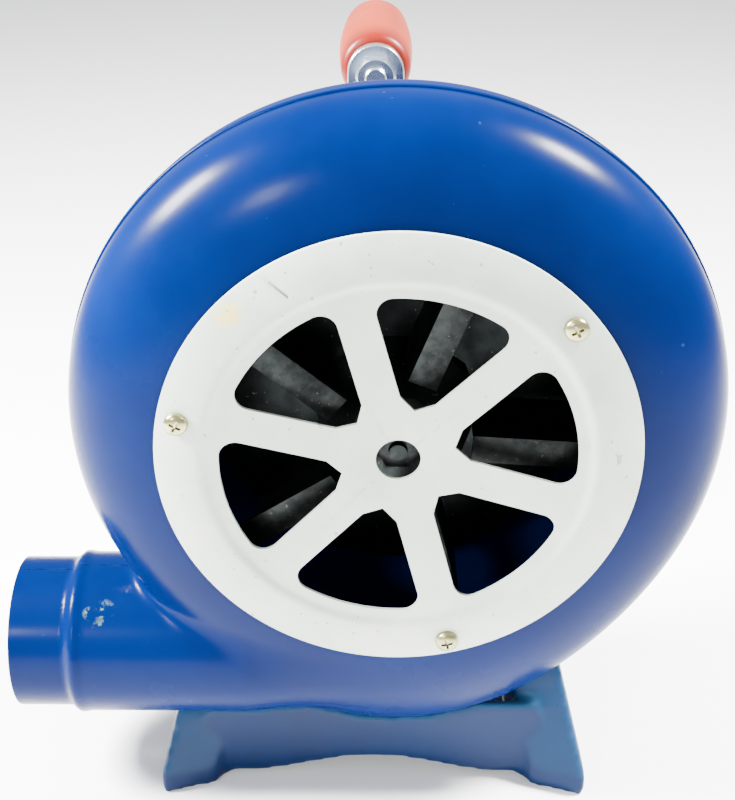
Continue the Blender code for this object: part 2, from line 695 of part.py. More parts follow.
def web(y, top_z):
    """Wall across the stand between two legs, arched along its lower edge."""
    low = GROUND_Z + WEB_LIFT
    half = BASE_HALF_W - LEG_W / 2
    top_half = half - LEG_LEAN * (top_z - GROUND_Z)
    arch = []
    arch_steps = 8
    for step in range(arch_steps + 1):
        share = step / arch_steps
        x = ARCH_HALF * (1 - 2 * share)
        arch.append((BASE_X + x, low + ARCH_H * math.sin(math.pi * share) ** 1.5))
    outline = [(BASE_X - half, low), (BASE_X - top_half, top_z), (BASE_X + top_half, top_z),
               (BASE_X + half, low)] + arch
    return prism(outline, y, y + WEB_T)


def side_wall(side, top_z):
    """Leaning wall along one side of the stand."""
    low = GROUND_Z + WEB_LIFT
    outer = BASE_HALF_W - 3 * MM
    lean = LEG_LEAN * (top_z - low)
    front = FRONT_TOE_Y + WEB_SETBACK + MM
    back = REAR_TOE_Y - WEB_SETBACK - MM
    rings = []
    for y in (front, back):
        top = outer - lean
        rings.append([(BASE_X + side * outer, y, low), (BASE_X + side * top, y, top_z),
                      (BASE_X + side * (top - WEB_T), y, top_z), (BASE_X + side * (outer - WEB_T), y, low)])
    return loft(rings)


def make_stand(parent):
    """Gearcase cast in one with its stand: case, fan boss, column, deck, webs and four legs."""
    at = (CRANK_X, CRANK_Z)
    column_z = CRANK_Z - 0.75 * CASE_R
    stand = block((BASE_X - COLUMN_HALF_W, CASE_FRONT_Y + MM, DECK_Z - WEB_T / 2),
                  (BASE_X + COLUMN_HALF_W, CASE_BACK_Y - MM, column_z))
    deck_half = BASE_HALF_W - LEG_LEAN * (DECK_Z - GROUND_Z) - 4 * MM
    join(stand, block((BASE_X - deck_half, CASE_FRONT_Y + MM, DECK_Z - WEB_T),
                      (BASE_X + deck_half, REAR_TOE_Y - WEB_SETBACK - MM / 2, DECK_Z)))
    join(stand, web(CASE_FRONT_Y + MM / 2, DECK_Z - MM), web(FRONT_TOE_Y + WEB_SETBACK, DECK_Z),
         web(REAR_TOE_Y - WEB_SETBACK - WEB_T, DECK_Z - MM))
    for side in (-1, 1):
        join(stand, side_wall(side, DECK_Z - MM / 2), leg(side, FRONT_TOE_Y, 1, LEG_TOP_Z),
             leg(side, REAR_TOE_Y, -1, REAR_LEG_TOP_Z))
    cut(stand, join(scroll_solid(-SADDLE_GAP), pipe_solid(-SADDLE_GAP, MOUTH_X), seam_lip(SADDLE_GAP)))
    join(stand, rod(CASE_R, CASE_FRONT_Y, CASE_BACK_Y, at, 48))
    for centre in ear_places():
        join(stand, rod(EAR_R, CASE_BACK_Y - 12 * MM, CASE_BACK_Y, centre, 20))
    join(stand, rod(FAN_BOSS_R, FAN_BOSS_Y, CASE_FRONT_Y + MM, steps=32))
    cut(stand, rod(CASE_R - CASE_WALL, CASE_INNER_Y, CASE_BACK_Y + MM, at, 48))
    join(stand, rod(FAN_BOSS_R, CASE_INNER_Y - MM, FAN_BOSS_END, steps=32),
         rod(PIN_BOSS_R, CASE_INNER_Y - MM, FAN_BOSS_END, (IDLER_X, IDLER_Z), 24))
    column_in = COLUMN_HALF_W - WEB_T
    cut(stand, block((BASE_X - column_in, CASE_FRONT_Y + MM + WEB_T, GROUND_Z),
                     (BASE_X + column_in, CASE_BACK_Y - MM - WEB_T, CRANK_Z - CASE_R - WEB_T)))
    cut(stand, rod(FAN_BUSH_R + GAP, FAN_BOSS_Y - MM, FAN_BOSS_END + MM, steps=24),
        rod(IDLER_PIN_R + GAP, CASE_FRONT_Y - MM, FAN_BOSS_END + MM, (IDLER_X, IDLER_Z)))
    for centre in shell_screw_places():
        cut(stand, rod(SCREW_R + THREAD_GAP, CASE_FRONT_Y - MM, CASE_INNER_Y + MM, centre, 12))
    for centre in ear_places():
        cut(stand, rod(SCREW_R + THREAD_GAP, CASE_BACK_Y - 10 * MM, CASE_BACK_Y + MM, centre, 12))
    finished(stand, "gearcase_stand", "blue_enamel", parent)


def make_cover(parent):
    """Rear cover of the gearcase with the crank boss."""
    at = (CRANK_X, CRANK_Z)
    cover = rod(CASE_R, COVER_Y, COVER_BACK_Y, at, 48)
    for centre in ear_places():
        join(cover, rod(EAR_R, COVER_Y, COVER_BACK_Y, centre, 20))
    join(cover, turned([(0, CRANK_BOSS_INNER), (CRANK_BOSS_R, CRANK_BOSS_INNER),
                        (CRANK_BOSS_R, COVER_BACK_Y + MM), (CRANK_BOSS_R - MM, CRANK_BOSS_END),
                        (0, CRANK_BOSS_END)], at, 24))
    cut(cover, rod(CRANK_BUSH_R + GAP, CRANK_BOSS_INNER - MM, CRANK_BOSS_END + MM, at, 24),
        rod(IDLER_PIN_R + GAP, COVER_Y - MM, COVER_BACK_Y + MM, (IDLER_X, IDLER_Z), 24))
    for centre in ear_places():
        cut(cover, rod(SCREW_R + THREAD_GAP, COVER_Y - MM, COVER_BACK_Y + MM, centre, 12))
    finished(cover, "gearcase_cover", "blue_enamel", parent)
    bush = tube(CRANK_BUSH_R, CRANK_SHAFT_R + GAP, CRANK_BOSS_INNER, CRANK_BOSS_END, at)
    finished(bush, "crank_bush", "bronze", parent)


def make_screws(parent):
    """Guard, shell and cover screws, each its own piece."""
    for index, angle in enumerate(GUARD_SCREW_ANGLES, 1):
        screw = pan_screw(polar(GUARD_SCREW_PCR, angle), GUARD_FRONT_Y - GAP, 1, SCREW_L)
        finished(screw, f"guard_screw_{index}", "yellow_zinc", parent)
    for index, centre in enumerate(shell_screw_places(), 1):
        screw = pan_screw(centre, SHELL_BACK_Y - WALL - GAP, 1, WALL + GAP + CASE_FRONT_T)
        finished(screw, f"shell_screw_{index}", "zinc", parent)
    for index, centre in enumerate(ear_places(), 1):
        screw = pan_screw(centre, COVER_BACK_Y + GAP, -1, SCREW_L)
        finished(screw, f"cover_screw_{index}", "zinc", parent)


def make_crank(parent):
    """Crank shaft, arm, washer and nut."""
    at = (CRANK_X, CRANK_Z)
    pivot = (CRANK_X, 0, CRANK_Z)
    arm_back = ARM_Y + ARM_T
    nut_y = arm_back + GAP + WASHER_T + GAP
    end = nut_y + NUT_H + BOLT_TAIL
    shaft = turned([(0, STAGE_1_Y - GAP), (CRANK_SHAFT_R, STAGE_1_Y - GAP), (CRANK_SHAFT_R, ARM_Y - GAP),
                    (CRANK_STUD_R, ARM_Y - GAP), (CRANK_STUD_R, end), (0, end)], at)
    finished(shaft, "crank_shaft", "steel", parent, pivot)
    top = (CRANK_X, CRANK_Z + ARM_LENGTH)
    arm = rod(ARM_HUB_R, ARM_Y, arm_back, at, 28)
    join(arm, block((CRANK_X - ARM_W / 2, ARM_Y, CRANK_Z), (CRANK_X + ARM_W / 2, arm_back, top[1])),
         rod(ARM_W / 2, ARM_Y, arm_back, top, 28))
    cut(arm, rod(CRANK_STUD_R + GAP, ARM_Y - MM, arm_back + MM, at),
        rod(GRIP_BOLT_R + GAP, ARM_Y - MM, arm_back + MM, top))
    finished(arm, "crank_arm", "zinc", parent, pivot)
    washer = tube(WASHER_R + MM, CRANK_STUD_R + GAP, arm_back + GAP, arm_back + GAP + WASHER_T, at)
    finished(washer, "crank_washer", "zinc", parent, pivot)
    finished(nut(at, nut_y, NUT_H, CRANK_STUD_R + GAP), "crank_nut", "zinc", parent, pivot)


def grip_profile():
    """Outer profile of the barrel grip as (radius, y) from its arm end to its far end."""
    steps = 7
    edge = 1.6 * MM
    points = [(GRIP_END_R - edge, GRIP_Y)]
    for step in range(steps + 1):
        share = step / steps
        radius = GRIP_END_R + (GRIP_R - GRIP_END_R) * math.sin(math.pi * share)
        points.append((radius, GRIP_Y + edge + (GRIP_L - 2 * edge) * share))
    points.append((GRIP_END_R - edge, GRIP_Y + GRIP_L))
    return points


def make_grip(crank, grip):
    """Barrel grip that spins on its bolt, with the bolt, washers and nut."""
    at = (CRANK_X, CRANK_Z + ARM_LENGTH)
    pivot = (at[0], 0, at[1])
    end = GRIP_Y + GRIP_L
    bore = GRIP_BOLT_R + GAP
    profile = grip_profile() + [(COUNTERBORE_R, end), (COUNTERBORE_R, end - COUNTERBORE_D),
                                (bore, end - COUNTERBORE_D), (bore, GRIP_Y)]
    finished(turned(profile, at, 28), "grip", "orange_grip", grip, pivot)
    nut_y = ARM_Y - GAP - NUT_H
    bolt = rod(GRIP_BOLT_R, nut_y - BOLT_TAIL, GRIP_HEAD_Y + MM, at)
    join(bolt, prism(hex_points(NUT_FLATS, at), GRIP_HEAD_Y, GRIP_HEAD_Y + 5 * MM))
    finished(bolt, "grip_bolt", "zinc", crank, pivot)
    finished(nut(at, nut_y, NUT_H, bore), "grip_nut", "zinc", crank, pivot)
    near = ARM_Y + ARM_T + GAP
    finished(tube(WASHER_R, bore, near, near + WASHER_T, at), "grip_washer_inner", "zinc", crank, pivot)
    far = GRIP_HEAD_Y - GAP - WASHER_T
    finished(tube(WASHER_R, bore, far, far + WASHER_T, at), "grip_washer_outer", "zinc", crank, pivot)


def axis_frame(name, x, z, parent):
    """Empty on a joint axis."""
    frame = bpy.data.objects.new(name, None)
    bpy.context.collection.objects.link(frame)
    frame.location = (x, 0, z)
    frame.parent = parent
    return frame


def main():
    """Build every piece."""
    clear_scene()
    root = axis_frame("fan_axis_frame", 0, 0, None)
    root.location = ORIGIN_SHIFT
    fan = axis_frame("fan_frame", 0, 0, root)
    idler = axis_frame("idler_frame", 0, 0, root)
    crank = axis_frame("crank_frame", 0, 0, root)
    grip = axis_frame("grip_frame", 0, 0, root)
    make_guard(root)
    make_shells(root)
    make_impeller(fan)
    make_fan_shaft(fan)
    make_fan_bushes(root)
    make_gears(crank, idler, fan)
    make_idler_pin(root)
    make_stand(root)
    make_cover(root)
    make_screws(root)
    make_crank(crank)
    make_grip(crank, grip)


main()
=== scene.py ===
# %% [markdown]
# # A hand-cranked centrifugal blower, piece by piece
#
# A blower of this kind is a pair of pressed steel shells on a cast stand. Turning the crank at the
# back spins a bladed wheel sixteen times as fast, and the air leaves by the round pipe at the left.
# The frame gives every piece at its true size and place. Each cell below takes one piece of it and
# gives it the shape and the finish that the real one has.

# %% Load the frame
import math

import bmesh
import bpy
import numpy as np
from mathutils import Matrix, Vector


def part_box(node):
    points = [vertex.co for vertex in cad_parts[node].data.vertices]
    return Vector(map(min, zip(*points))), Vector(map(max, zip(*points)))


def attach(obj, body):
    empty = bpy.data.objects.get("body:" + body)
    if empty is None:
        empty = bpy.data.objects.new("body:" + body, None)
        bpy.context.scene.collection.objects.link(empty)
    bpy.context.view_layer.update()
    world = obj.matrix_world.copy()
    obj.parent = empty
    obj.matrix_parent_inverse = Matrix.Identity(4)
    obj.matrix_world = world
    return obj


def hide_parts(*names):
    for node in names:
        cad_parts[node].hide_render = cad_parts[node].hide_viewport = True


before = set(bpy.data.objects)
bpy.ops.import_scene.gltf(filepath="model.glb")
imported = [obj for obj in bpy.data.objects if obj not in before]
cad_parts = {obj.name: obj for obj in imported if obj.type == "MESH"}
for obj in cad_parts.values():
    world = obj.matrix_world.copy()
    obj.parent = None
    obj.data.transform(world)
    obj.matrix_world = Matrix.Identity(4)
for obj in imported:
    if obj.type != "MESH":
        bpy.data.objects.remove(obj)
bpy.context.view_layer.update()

MM = 0.001

# %% [markdown]
# ## Where things are
#
# Everything on a blower is built round the fan axis, so the pieces are modelled about that axis and
# moved to it at the end. The guard is round, so the middle of its box is a point on the axis.
# Its flat flange lies a little in front of its outer edge; that edge is taken as depth zero.

# %% Find the fan axis
FLANGE_AHEAD = 0.9 * MM


def middle(node):
    """Return the centre of a node's box."""
    low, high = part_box(node)
    return (Vector(low) + Vector(high)) / 2


guard_front_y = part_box("inlet_guard")[0][1]
AXIS = Vector((middle("inlet_guard").x, guard_front_y + FLANGE_AHEAD, middle("inlet_guard").z))
print("fan axis meets the guard's edge plane at", [round(part, 4) for part in AXIS])


def depths(node):
    """Return how far a node reaches along Y, from the guard's edge plane."""
    low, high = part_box(node)
    return low[1] - AXIS.y, high[1] - AXIS.y


def centre_of(node):
    """Return a node's centre across the fan axis, as (x, z) from that axis."""
    at = middle(node) - AXIS
    return at.x, at.z


def half_width(node):
    """Return half a node's width along X, which is the radius of a round piece."""
    low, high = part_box(node)
    return (high[0] - low[0]) / 2


# %% [markdown]
# ## Small tools for meshes
#
# A round piece is a profile spun about the Y axis, a flat piece is an outline that is extruded, and
# a hole is a Boolean with a cutter that is removed at once. The same few helpers serve every piece.
# A spun shape can come out inside out, so the normals are worked out again each time.

# %% Mesh helpers
def piece_from(bm, name):
    """Turn a bmesh about the fan axis into a linked object in its place."""
    bmesh.ops.translate(bm, verts=bm.verts, vec=AXIS)
    mesh = bpy.data.meshes.new(name)
    bm.to_mesh(mesh)
    bm.free()
    piece = bpy.data.objects.new(name, mesh)
    bpy.context.collection.objects.link(piece)
    return piece


def spun(name, profile, centre=(0.0, 0.0), steps=96):
    """Spin (radius, depth) points about the Y axis through centre."""
    bm = bmesh.new()
    points = [bm.verts.new((radius, depth, 0)) for radius, depth in profile]
    pairs = list(zip(points, points[1:]))
    if profile[0][0] > 0:
        pairs.append((points[-1], points[0]))
    edges = [bm.edges.new(pair) for pair in pairs]
    bmesh.ops.spin(bm, geom=points + edges, cent=(0, 0, 0), axis=(0, 1, 0), dvec=(0, 0, 0),
                   angle=2 * math.pi, steps=steps, use_merge=True, use_duplicate=False)
    bmesh.ops.remove_doubles(bm, verts=bm.verts, dist=MM / 1000)
    bmesh.ops.recalc_face_normals(bm, faces=bm.faces)
    bmesh.ops.translate(bm, verts=bm.verts, vec=(centre[0], 0, centre[1]))
    return piece_from(bm, name)


def slab(name, outline, near, far):
    """Extrude an outline of (x, z) points from one depth to another."""
    bm = bmesh.new()
    face = bm.faces.new([bm.verts.new((x, near, z)) for x, z in outline])
    grown = bmesh.ops.extrude_face_region(bm, geom=[face])["geom"]
    moved = [item for item in grown if isinstance(item, bmesh.types.BMVert)]
    bmesh.ops.translate(bm, verts=moved, vec=(0, far - near, 0))
    bmesh.ops.recalc_face_normals(bm, faces=bm.faces)
    return piece_from(bm, name)


def bore_tool(radius, near, far, centre):
    """Make a round cutter that runs a millimetre past both faces."""
    return spun("bore", [(0, near - MM), (radius, near - MM), (radius, far + MM), (0, far + MM)], centre, 48)


def smooth(bm):
    """Draw every point half-way to the middle of its neighbours."""
    bmesh.ops.smooth_vert(bm, verts=bm.verts, factor=0.5,
                          use_axis_x=True, use_axis_y=True, use_axis_z=True)


def settled_mesh(piece):
    """Replace a piece's mesh with what its modifiers make, and drop the modifiers."""
    evaluated = piece.evaluated_get(bpy.context.evaluated_depsgraph_get())
    piece.data = bpy.data.meshes.new_from_object(evaluated)
    piece.modifiers.clear()


def boolean(piece, tool, operation="DIFFERENCE"):
    """Cut a tool out of a piece, or keep what they share, and remove the tool."""
    modifier = piece.modifiers.new("boolean", "BOOLEAN")
    modifier.operation = operation
    modifier.solver = "EXACT"
    modifier.object = tool
    bpy.context.view_layer.update()
    settled_mesh(piece)
    bpy.data.objects.remove(tool)
    return piece


def round_edges(piece, width, segments=2, angle=35):
    """Round a piece's sharp edges and shade it smooth."""
    bevel = piece.modifiers.new("round_edges", "BEVEL")
    bevel.width = width
    bevel.segments = segments
    bevel.limit_method = "ANGLE"
    bevel.angle_limit = math.radians(angle)
    bevel.harden_normals = True
    piece.data.shade_smooth()
    return piece


def dress(piece, material, slot, body, *nodes):
    """Give a piece its material and the body it rides on, in place of its CAD nodes; the slot is not used."""
    piece.data.materials.clear()
    piece.data.materials.append(material)
    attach(piece, body)
    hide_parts(*nodes)
    print(f"{piece.name}: {len(piece.data.vertices)} vertices, rides on {body}")


def polar(radius, degrees, centre=(0.0, 0.0)):
    """Return the (x, z) point at a radius and an angle from +X towards +Z."""
    turn = math.radians(degrees)
    return centre[0] + radius * math.cos(turn), centre[1] + radius * math.sin(turn)


def turned(outline, degrees, centre=(0.0, 0.0)):
    """Turn (x, z) points by an angle and move them to a centre."""
    cosine, sine = math.cos(math.radians(degrees)), math.sin(math.radians(degrees))
    return [(centre[0] + x * cosine - z * sine, centre[1] + x * sine + z * cosine) for x, z in outline]


# %% [markdown]
# ## Small tools for materials
#
# A node tree is easier to read when each node is one call. `add` makes a node and fills its inputs:
# a socket given as a value is linked, and anything else is set on the input itself.

# %% Material helpers
def add(tree, kind, inputs=None, **settings):
    """Add a node, set its properties, and link or set its inputs."""
    made = tree.nodes.new(kind)
    for key, value in settings.items():
        setattr(made, key, value)
    for key, value in (inputs or {}).items():
        if isinstance(value, bpy.types.NodeSocket):
            tree.links.new(value, made.inputs[key])
        else:
            made.inputs[key].default_value = value
    return made


def blend_colour(tree, factor, first, second):
    """Mix two colours by a factor and return the result."""
    mixed = add(tree, "ShaderNodeMix", data_type="RGBA")
    for index, value in ((0, factor), (6, first), (7, second)):
        if isinstance(value, bpy.types.NodeSocket):
            tree.links.new(value, mixed.inputs[index])
        elif index == 0:
            mixed.inputs[index].default_value = value
        else:
            mixed.inputs[index].default_value = (*value, 1)
    return mixed.outputs[2]


def rescale(tree, value, low, high, to_low=0.0, to_high=1.0):
    """Map a value from one range to another, clamped, and return the result."""
    inputs = {"Value": value, "From Min": low, "From Max": high, "To Min": to_low, "To Max": to_high}
    return add(tree, "ShaderNodeMapRange", inputs).outputs["Result"]


def maths(tree, operation, first, second=0.5):
    """Combine two values and return the result, clamped to 0 to 1."""
    return add(tree, "ShaderNodeMath", {0: first, 1: second}, operation=operation, use_clamp=True).outputs[0]


def noise(tree, scale, detail=4.0, roughness=0.55, vector=None):
    """Return the value of a noise on object coordinates, or on a given vector."""
    if vector is None:
        vector = add(tree, "ShaderNodeTexCoord").outputs["Object"]
    inputs = {"Vector": vector, "Scale": scale, "Detail": detail, "Roughness": roughness}
    return add(tree, "ShaderNodeTexNoise", inputs).outputs["Fac"]


def near_point(tree, point, reach, spread=1.6):
    """Return a mask that is 1 within a reach of a point and fades out past it."""
    place = add(tree, "ShaderNodeTexCoord").outputs["Object"]
    away = add(tree, "ShaderNodeVectorMath", {0: place, 1: tuple(point)}, operation="DISTANCE")
    return rescale(tree, away.outputs["Value"], reach, reach * spread, 1.0, 0.0)


# %% [markdown]
# ## Effects that several finishes share
#
# Three effects turn up on almost every finish: a fine grain, edges where the finish has rubbed
# through, and scattered scratches and specks. Each is a node group with named inputs and outputs,
# so a material only sets its numbers. A group puts out masks and heights; the shader stays outside.

# %% Shared node groups
def group(name, inputs, outputs):
    """Start a shader node group with float sockets, and return its tree, inputs and output node."""
    tree = bpy.data.node_groups.new(name, "ShaderNodeTree")
    for label, value in inputs.items():
        tree.interface.new_socket(label, in_out="INPUT", socket_type="NodeSocketFloat").default_value = value
    for label in outputs:
        tree.interface.new_socket(label, in_out="OUTPUT", socket_type="NodeSocketFloat")
    return tree, tree.nodes.new("NodeGroupInput").outputs, tree.nodes.new("NodeGroupOutput")


def make_grain():
    """Fine grain: a height for the bump, and a slow variation for colour and roughness."""
    tree, given, out = group("fine_grain", {"Scale": 900.0, "Patch Scale": 28.0}, ("Height", "Variation"))
    fine = noise(tree, given["Scale"], 3.0)
    patch = noise(tree, given["Patch Scale"], 5.0, 0.6)
    tree.links.new(fine, out.inputs["Height"])
    tree.links.new(rescale(tree, patch, 0.3, 0.7), out.inputs["Variation"])
    return tree


def make_wear():
    """Worn edges: convex edges, broken up by a noise."""
    tree, given, out = group("edge_wear", {"Start": 0.53, "End": 0.6, "Scale": 220.0}, ("Mask",))
    sharp = add(tree, "ShaderNodeNewGeometry").outputs["Pointiness"]
    edge = rescale(tree, sharp, given["Start"], given["End"])
    broken = rescale(tree, noise(tree, given["Scale"], 6.0, 0.7), 0.42, 0.62)
    tree.links.new(maths(tree, "MULTIPLY", edge, broken), out.inputs["Mask"])
    return tree


def make_marks():
    """Scratches and specks: long thin noise lines in two directions, and sparse small dots."""
    tree, given, out = group("marks", {"Scratch Scale": 60.0, "Speck Scale": 420.0, "Speck Level": 0.74},
                             ("Scratches", "Specks"))
    place = add(tree, "ShaderNodeTexCoord").outputs["Object"]
    lines = []
    for turn, stretch in ((0.5, 0.07), (-0.9, 0.05)):
        mapped = add(tree, "ShaderNodeMapping", {"Vector": place, "Rotation": (0.3, turn, turn / 2),
                                                 "Scale": (1, stretch, stretch * 2)}).outputs["Vector"]
        wave = noise(tree, given["Scratch Scale"], 8.0, 0.75, mapped)
        lines.append(rescale(tree, wave, 0.69, 0.72))
    dots = noise(tree, given["Speck Scale"], 2.0, 0.4)
    tree.links.new(maths(tree, "ADD", *lines), out.inputs["Scratches"])
    tree.links.new(add(tree, "ShaderNodeMath", {0: dots, 1: given["Speck Level"]},
                       operation="GREATER_THAN").outputs[0], out.inputs["Specks"])
    return tree


GRAIN, WEAR, MARKS = make_grain(), make_wear(), make_marks()
print("shared groups:", GRAIN.name, WEAR.name, MARKS.name)


def use(tree, shared, **values):
    """Place a shared group in a material with its own values, and return its outputs."""
    made = add(tree, "ShaderNodeGroup", node_tree=shared)
    for label, value in values.items():
        made.inputs[label.replace("_", " ")].default_value = value
    return made.outputs


def material(name):
    """Start a material and return it with its tree and its Principled shader."""
    made = bpy.data.materials.new(name)
    made.use_nodes = True
    return made, made.node_tree, made.node_tree.nodes["Principled BSDF"]


def connect(tree, shader, **sockets):
    """Link values to the shader's inputs by name."""
    for label, socket in sockets.items():
        tree.links.new(socket, shader.inputs[label.replace("_", " ")])


def counted(made):
    """Print how many nodes a finished material has, and hand it back."""
    print(f"{made.name}: {len(made.node_tree.nodes)} nodes")
    return made


def bump(tree, height, strength, distance=0.1 * MM):
    """Return a normal that is bumped by a height."""
    inputs = {"Height": height, "Strength": strength, "Distance": distance}
    return add(tree, "ShaderNodeBump", inputs).outputs["Normal"]


# %% [markdown]
# ## Blue enamel
#
# The shells are sprayed with a gloss enamel of a very deep blue. Gloss paint mirrors what is around
# it, and a pale floor would wash this blue out, so the reflection is kept weak and the lamps strong:
# they still draw highlights. The waviness of sprayed paint is a slow, weak bump.
# Thin scratches and rubbed edges show a paler blue, and a few chips show grey primer.

# %% Enamel on the shells
BEAD_X = -0.119
PIPE_HEIGHT = -0.0947
CHIPS = ((0.012, 0.0262, 0.0035), (0.0115, 0.0175, 0.0028), (0.007, 0.024, 0.002))   # inboard, up, reach


def chip_mask(tree):
    """Chips in the paint just inboard of the pipe's bead, near its top."""
    chips = rescale(tree, noise(tree, 210.0, 6.0, 0.7), 0.5, 0.54)
    spots = []
    for along, up, reach in CHIPS:
        point = AXIS + Vector((BEAD_X + along, 0.012, PIPE_HEIGHT + up))
        spots.append(near_point(tree, point, reach))
    both = maths(tree, "MAXIMUM", maths(tree, "MAXIMUM", spots[0], spots[1]), spots[2])
    return maths(tree, "MULTIPLY", both, chips)


def make_enamel():
    """Gloss enamel of the two scroll shells."""
    made, tree, shader = material("blue_enamel")
    grain = use(tree, GRAIN, Scale=70.0, Patch_Scale=9.0)
    marks = use(tree, MARKS, Scratch_Scale=26.0, Speck_Scale=260.0, Speck_Level=0.78)
    wear = use(tree, WEAR, Start=0.56, End=0.66, Scale=160.0)
    blue = blend_colour(tree, grain["Variation"], (0.0001, 0.0038, 0.034), (0.0001, 0.0075, 0.06))
    rubbed = maths(tree, "MULTIPLY", marks["Scratches"], 0.35)
    blue = blend_colour(tree, rubbed, blue, (0.01, 0.04, 0.16))
    blue = blend_colour(tree, maths(tree, "MULTIPLY", marks["Specks"], 0.3), blue, (0.02, 0.05, 0.13))
    blue = blend_colour(tree, maths(tree, "MULTIPLY", wear["Mask"], 0.5), blue, (0.02, 0.05, 0.12))
    chipped = chip_mask(tree)
    colour = blend_colour(tree, chipped, blue, (0.05, 0.09, 0.085))
    rough = maths(tree, "ADD", rescale(tree, grain["Variation"], 0, 1, 0.22, 0.3), chipped)
    connect(tree, shader, Base_Color=colour, Roughness=rough,
            Coat_Weight=rescale(tree, chipped, 0, 1, 0.03, 0.0),
            Normal=bump(tree, grain["Height"], 0.05, 1.2 * MM))
    shader.inputs["Coat Roughness"].default_value = 0.16
    shader.inputs["Specular IOR Level"].default_value = 0.035
    return made


ENAMEL = counted(make_enamel())

# %% [markdown]
# ## Paint on the casting
#
# The stand, the gearcase and its cover are castings with the same blue paint, but a casting is
# rough, so the gloss is lower and a fine bump shows through. Faces that look up are painted a paler
# grey-blue: painted light, which lightens the sloping faces of the legs as light from above would.

# %% Paint on the stand and gearcase
def make_casting_paint():
    """Duller blue paint over a cast surface, with painted light where it faces up."""
    made, tree, shader = material("casting_paint")
    grain = use(tree, GRAIN, Scale=420.0, Patch_Scale=16.0)
    wear = use(tree, WEAR, Start=0.54, End=0.63, Scale=180.0)
    marks = use(tree, MARKS, Scratch_Scale=30.0, Speck_Scale=300.0, Speck_Level=0.73)
    facing = add(tree, "ShaderNodeNewGeometry").outputs["Normal"]
    up = add(tree, "ShaderNodeSeparateXYZ", {"Vector": facing}).outputs["Z"]
    patchy = rescale(tree, grain["Variation"], 0, 1, 0.45, 0.8)
    # painted light: faces that look up are made a paler grey-blue, as if lit from above
    up_face_light = maths(tree, "MULTIPLY", rescale(tree, up, 0.1, 0.75), patchy)
    blue = blend_colour(tree, grain["Variation"], (0.0003, 0.0055, 0.029), (0.0005, 0.01, 0.046))
    blue = blend_colour(tree, up_face_light, blue, (0.016, 0.065, 0.13))
    blue = blend_colour(tree, maths(tree, "MULTIPLY", wear["Mask"], 0.7), blue, (0.06, 0.10, 0.15))
    blue = blend_colour(tree, maths(tree, "MULTIPLY", marks["Specks"], 0.5), blue, (0.002, 0.008, 0.03))
    rough = rescale(tree, grain["Variation"], 0, 1, 0.3, 0.48)
    connect(tree, shader, Base_Color=blue, Roughness=rough,
            Normal=bump(tree, grain["Height"], 0.35, 0.25 * MM))
    shader.inputs["Coat Weight"].default_value = 0.04
    shader.inputs["Coat Roughness"].default_value = 0.25
    shader.inputs["Specular IOR Level"].default_value = 0.08
    return made


CASTING_PAINT = counted(make_casting_paint())

# %% [markdown]
# ## Paint on the guard
#
# The guard is an off-white painted disc that has been handled: faint green-grey clouds, tiny brown
# and black specks, a yellowish stain on the flange, and grime in the bend where the flange drops
# to the dish. All of it is object-space noise, so it stays on the disc from every side.

# %% Paint on the guard
STAIN_PLACE = (75.5 * MM, 135)


def make_guard_paint():
    """Off-white paint with specks, clouds and a stain."""
    made, tree, shader = material("guard_paint")
    grain = use(tree, GRAIN, Scale=520.0, Patch_Scale=34.0)
    marks = use(tree, MARKS, Scratch_Scale=44.0, Speck_Scale=330.0, Speck_Level=0.735)
    wear = use(tree, WEAR, Start=0.56, End=0.7, Scale=240.0)
    white = blend_colour(tree, grain["Variation"], (0.33, 0.38, 0.325), (0.46, 0.50, 0.44))
    cloud = rescale(tree, noise(tree, 60.0, 6.0, 0.7), 0.52, 0.75, 0.0, 0.35)
    white = blend_colour(tree, cloud, white, (0.27, 0.31, 0.24))
    x, z = polar(*STAIN_PLACE)
    stain = near_point(tree, AXIS + Vector((x, 0, z)), 2 * MM, 3.5)
    patchy = rescale(tree, noise(tree, 190.0, 5.0, 0.65), 0.45, 0.62)
    white = blend_colour(tree, maths(tree, "MULTIPLY", stain, patchy), white, (0.50, 0.42, 0.12))
    white = blend_colour(tree, maths(tree, "MULTIPLY", marks["Scratches"], 0.25), white, (0.42, 0.44, 0.38))
    white = blend_colour(tree, maths(tree, "MULTIPLY", marks["Specks"], 0.7), white, (0.16, 0.15, 0.11))
    white = blend_colour(tree, wear["Mask"], white, (0.30, 0.32, 0.27))
    rough = rescale(tree, grain["Variation"], 0, 1, 0.32, 0.5)
    connect(tree, shader, Base_Color=white, Roughness=rough,
            Normal=bump(tree, grain["Height"], 0.18, 0.12 * MM))
    shader.inputs["Coat Weight"].default_value = 0.15
    shader.inputs["Coat Roughness"].default_value = 0.2
    return made


GUARD_PAINT = counted(make_guard_paint())

# %% [markdown]
# ## Bare and plated metals
#
# Plated screws, turned shafts, sintered bushes and the cast fan are all metals, and differ in tint,
# in gloss and in how uneven they are. One function with those values makes each of them; a
# directional grain would need a direction for each piece, so a fine even grain is used instead.
# Each row is a bright and a dull tint, the least and the most roughness, the strength of the bump,
# and how bright a rubbed edge is.

# %% Metals
METALS = {
    "zinc": ((0.58, 0.64, 0.68), (0.42, 0.50, 0.56), 0.2, 0.36, 0.25, 0.75),
    "yellow_zinc": ((0.46, 0.42, 0.20), (0.20, 0.20, 0.10), 0.2, 0.36, 0.3, 0.5),
    "steel": ((0.50, 0.51, 0.52), (0.34, 0.35, 0.36), 0.28, 0.42, 0.3, 0.6),
    "bronze": ((0.55, 0.36, 0.17), (0.36, 0.23, 0.11), 0.35, 0.5, 0.5, 0.5),
    "cast_alloy": ((0.012, 0.015, 0.0145), (0.004, 0.005, 0.005), 0.3, 0.5, 0.5, 0.035),
}


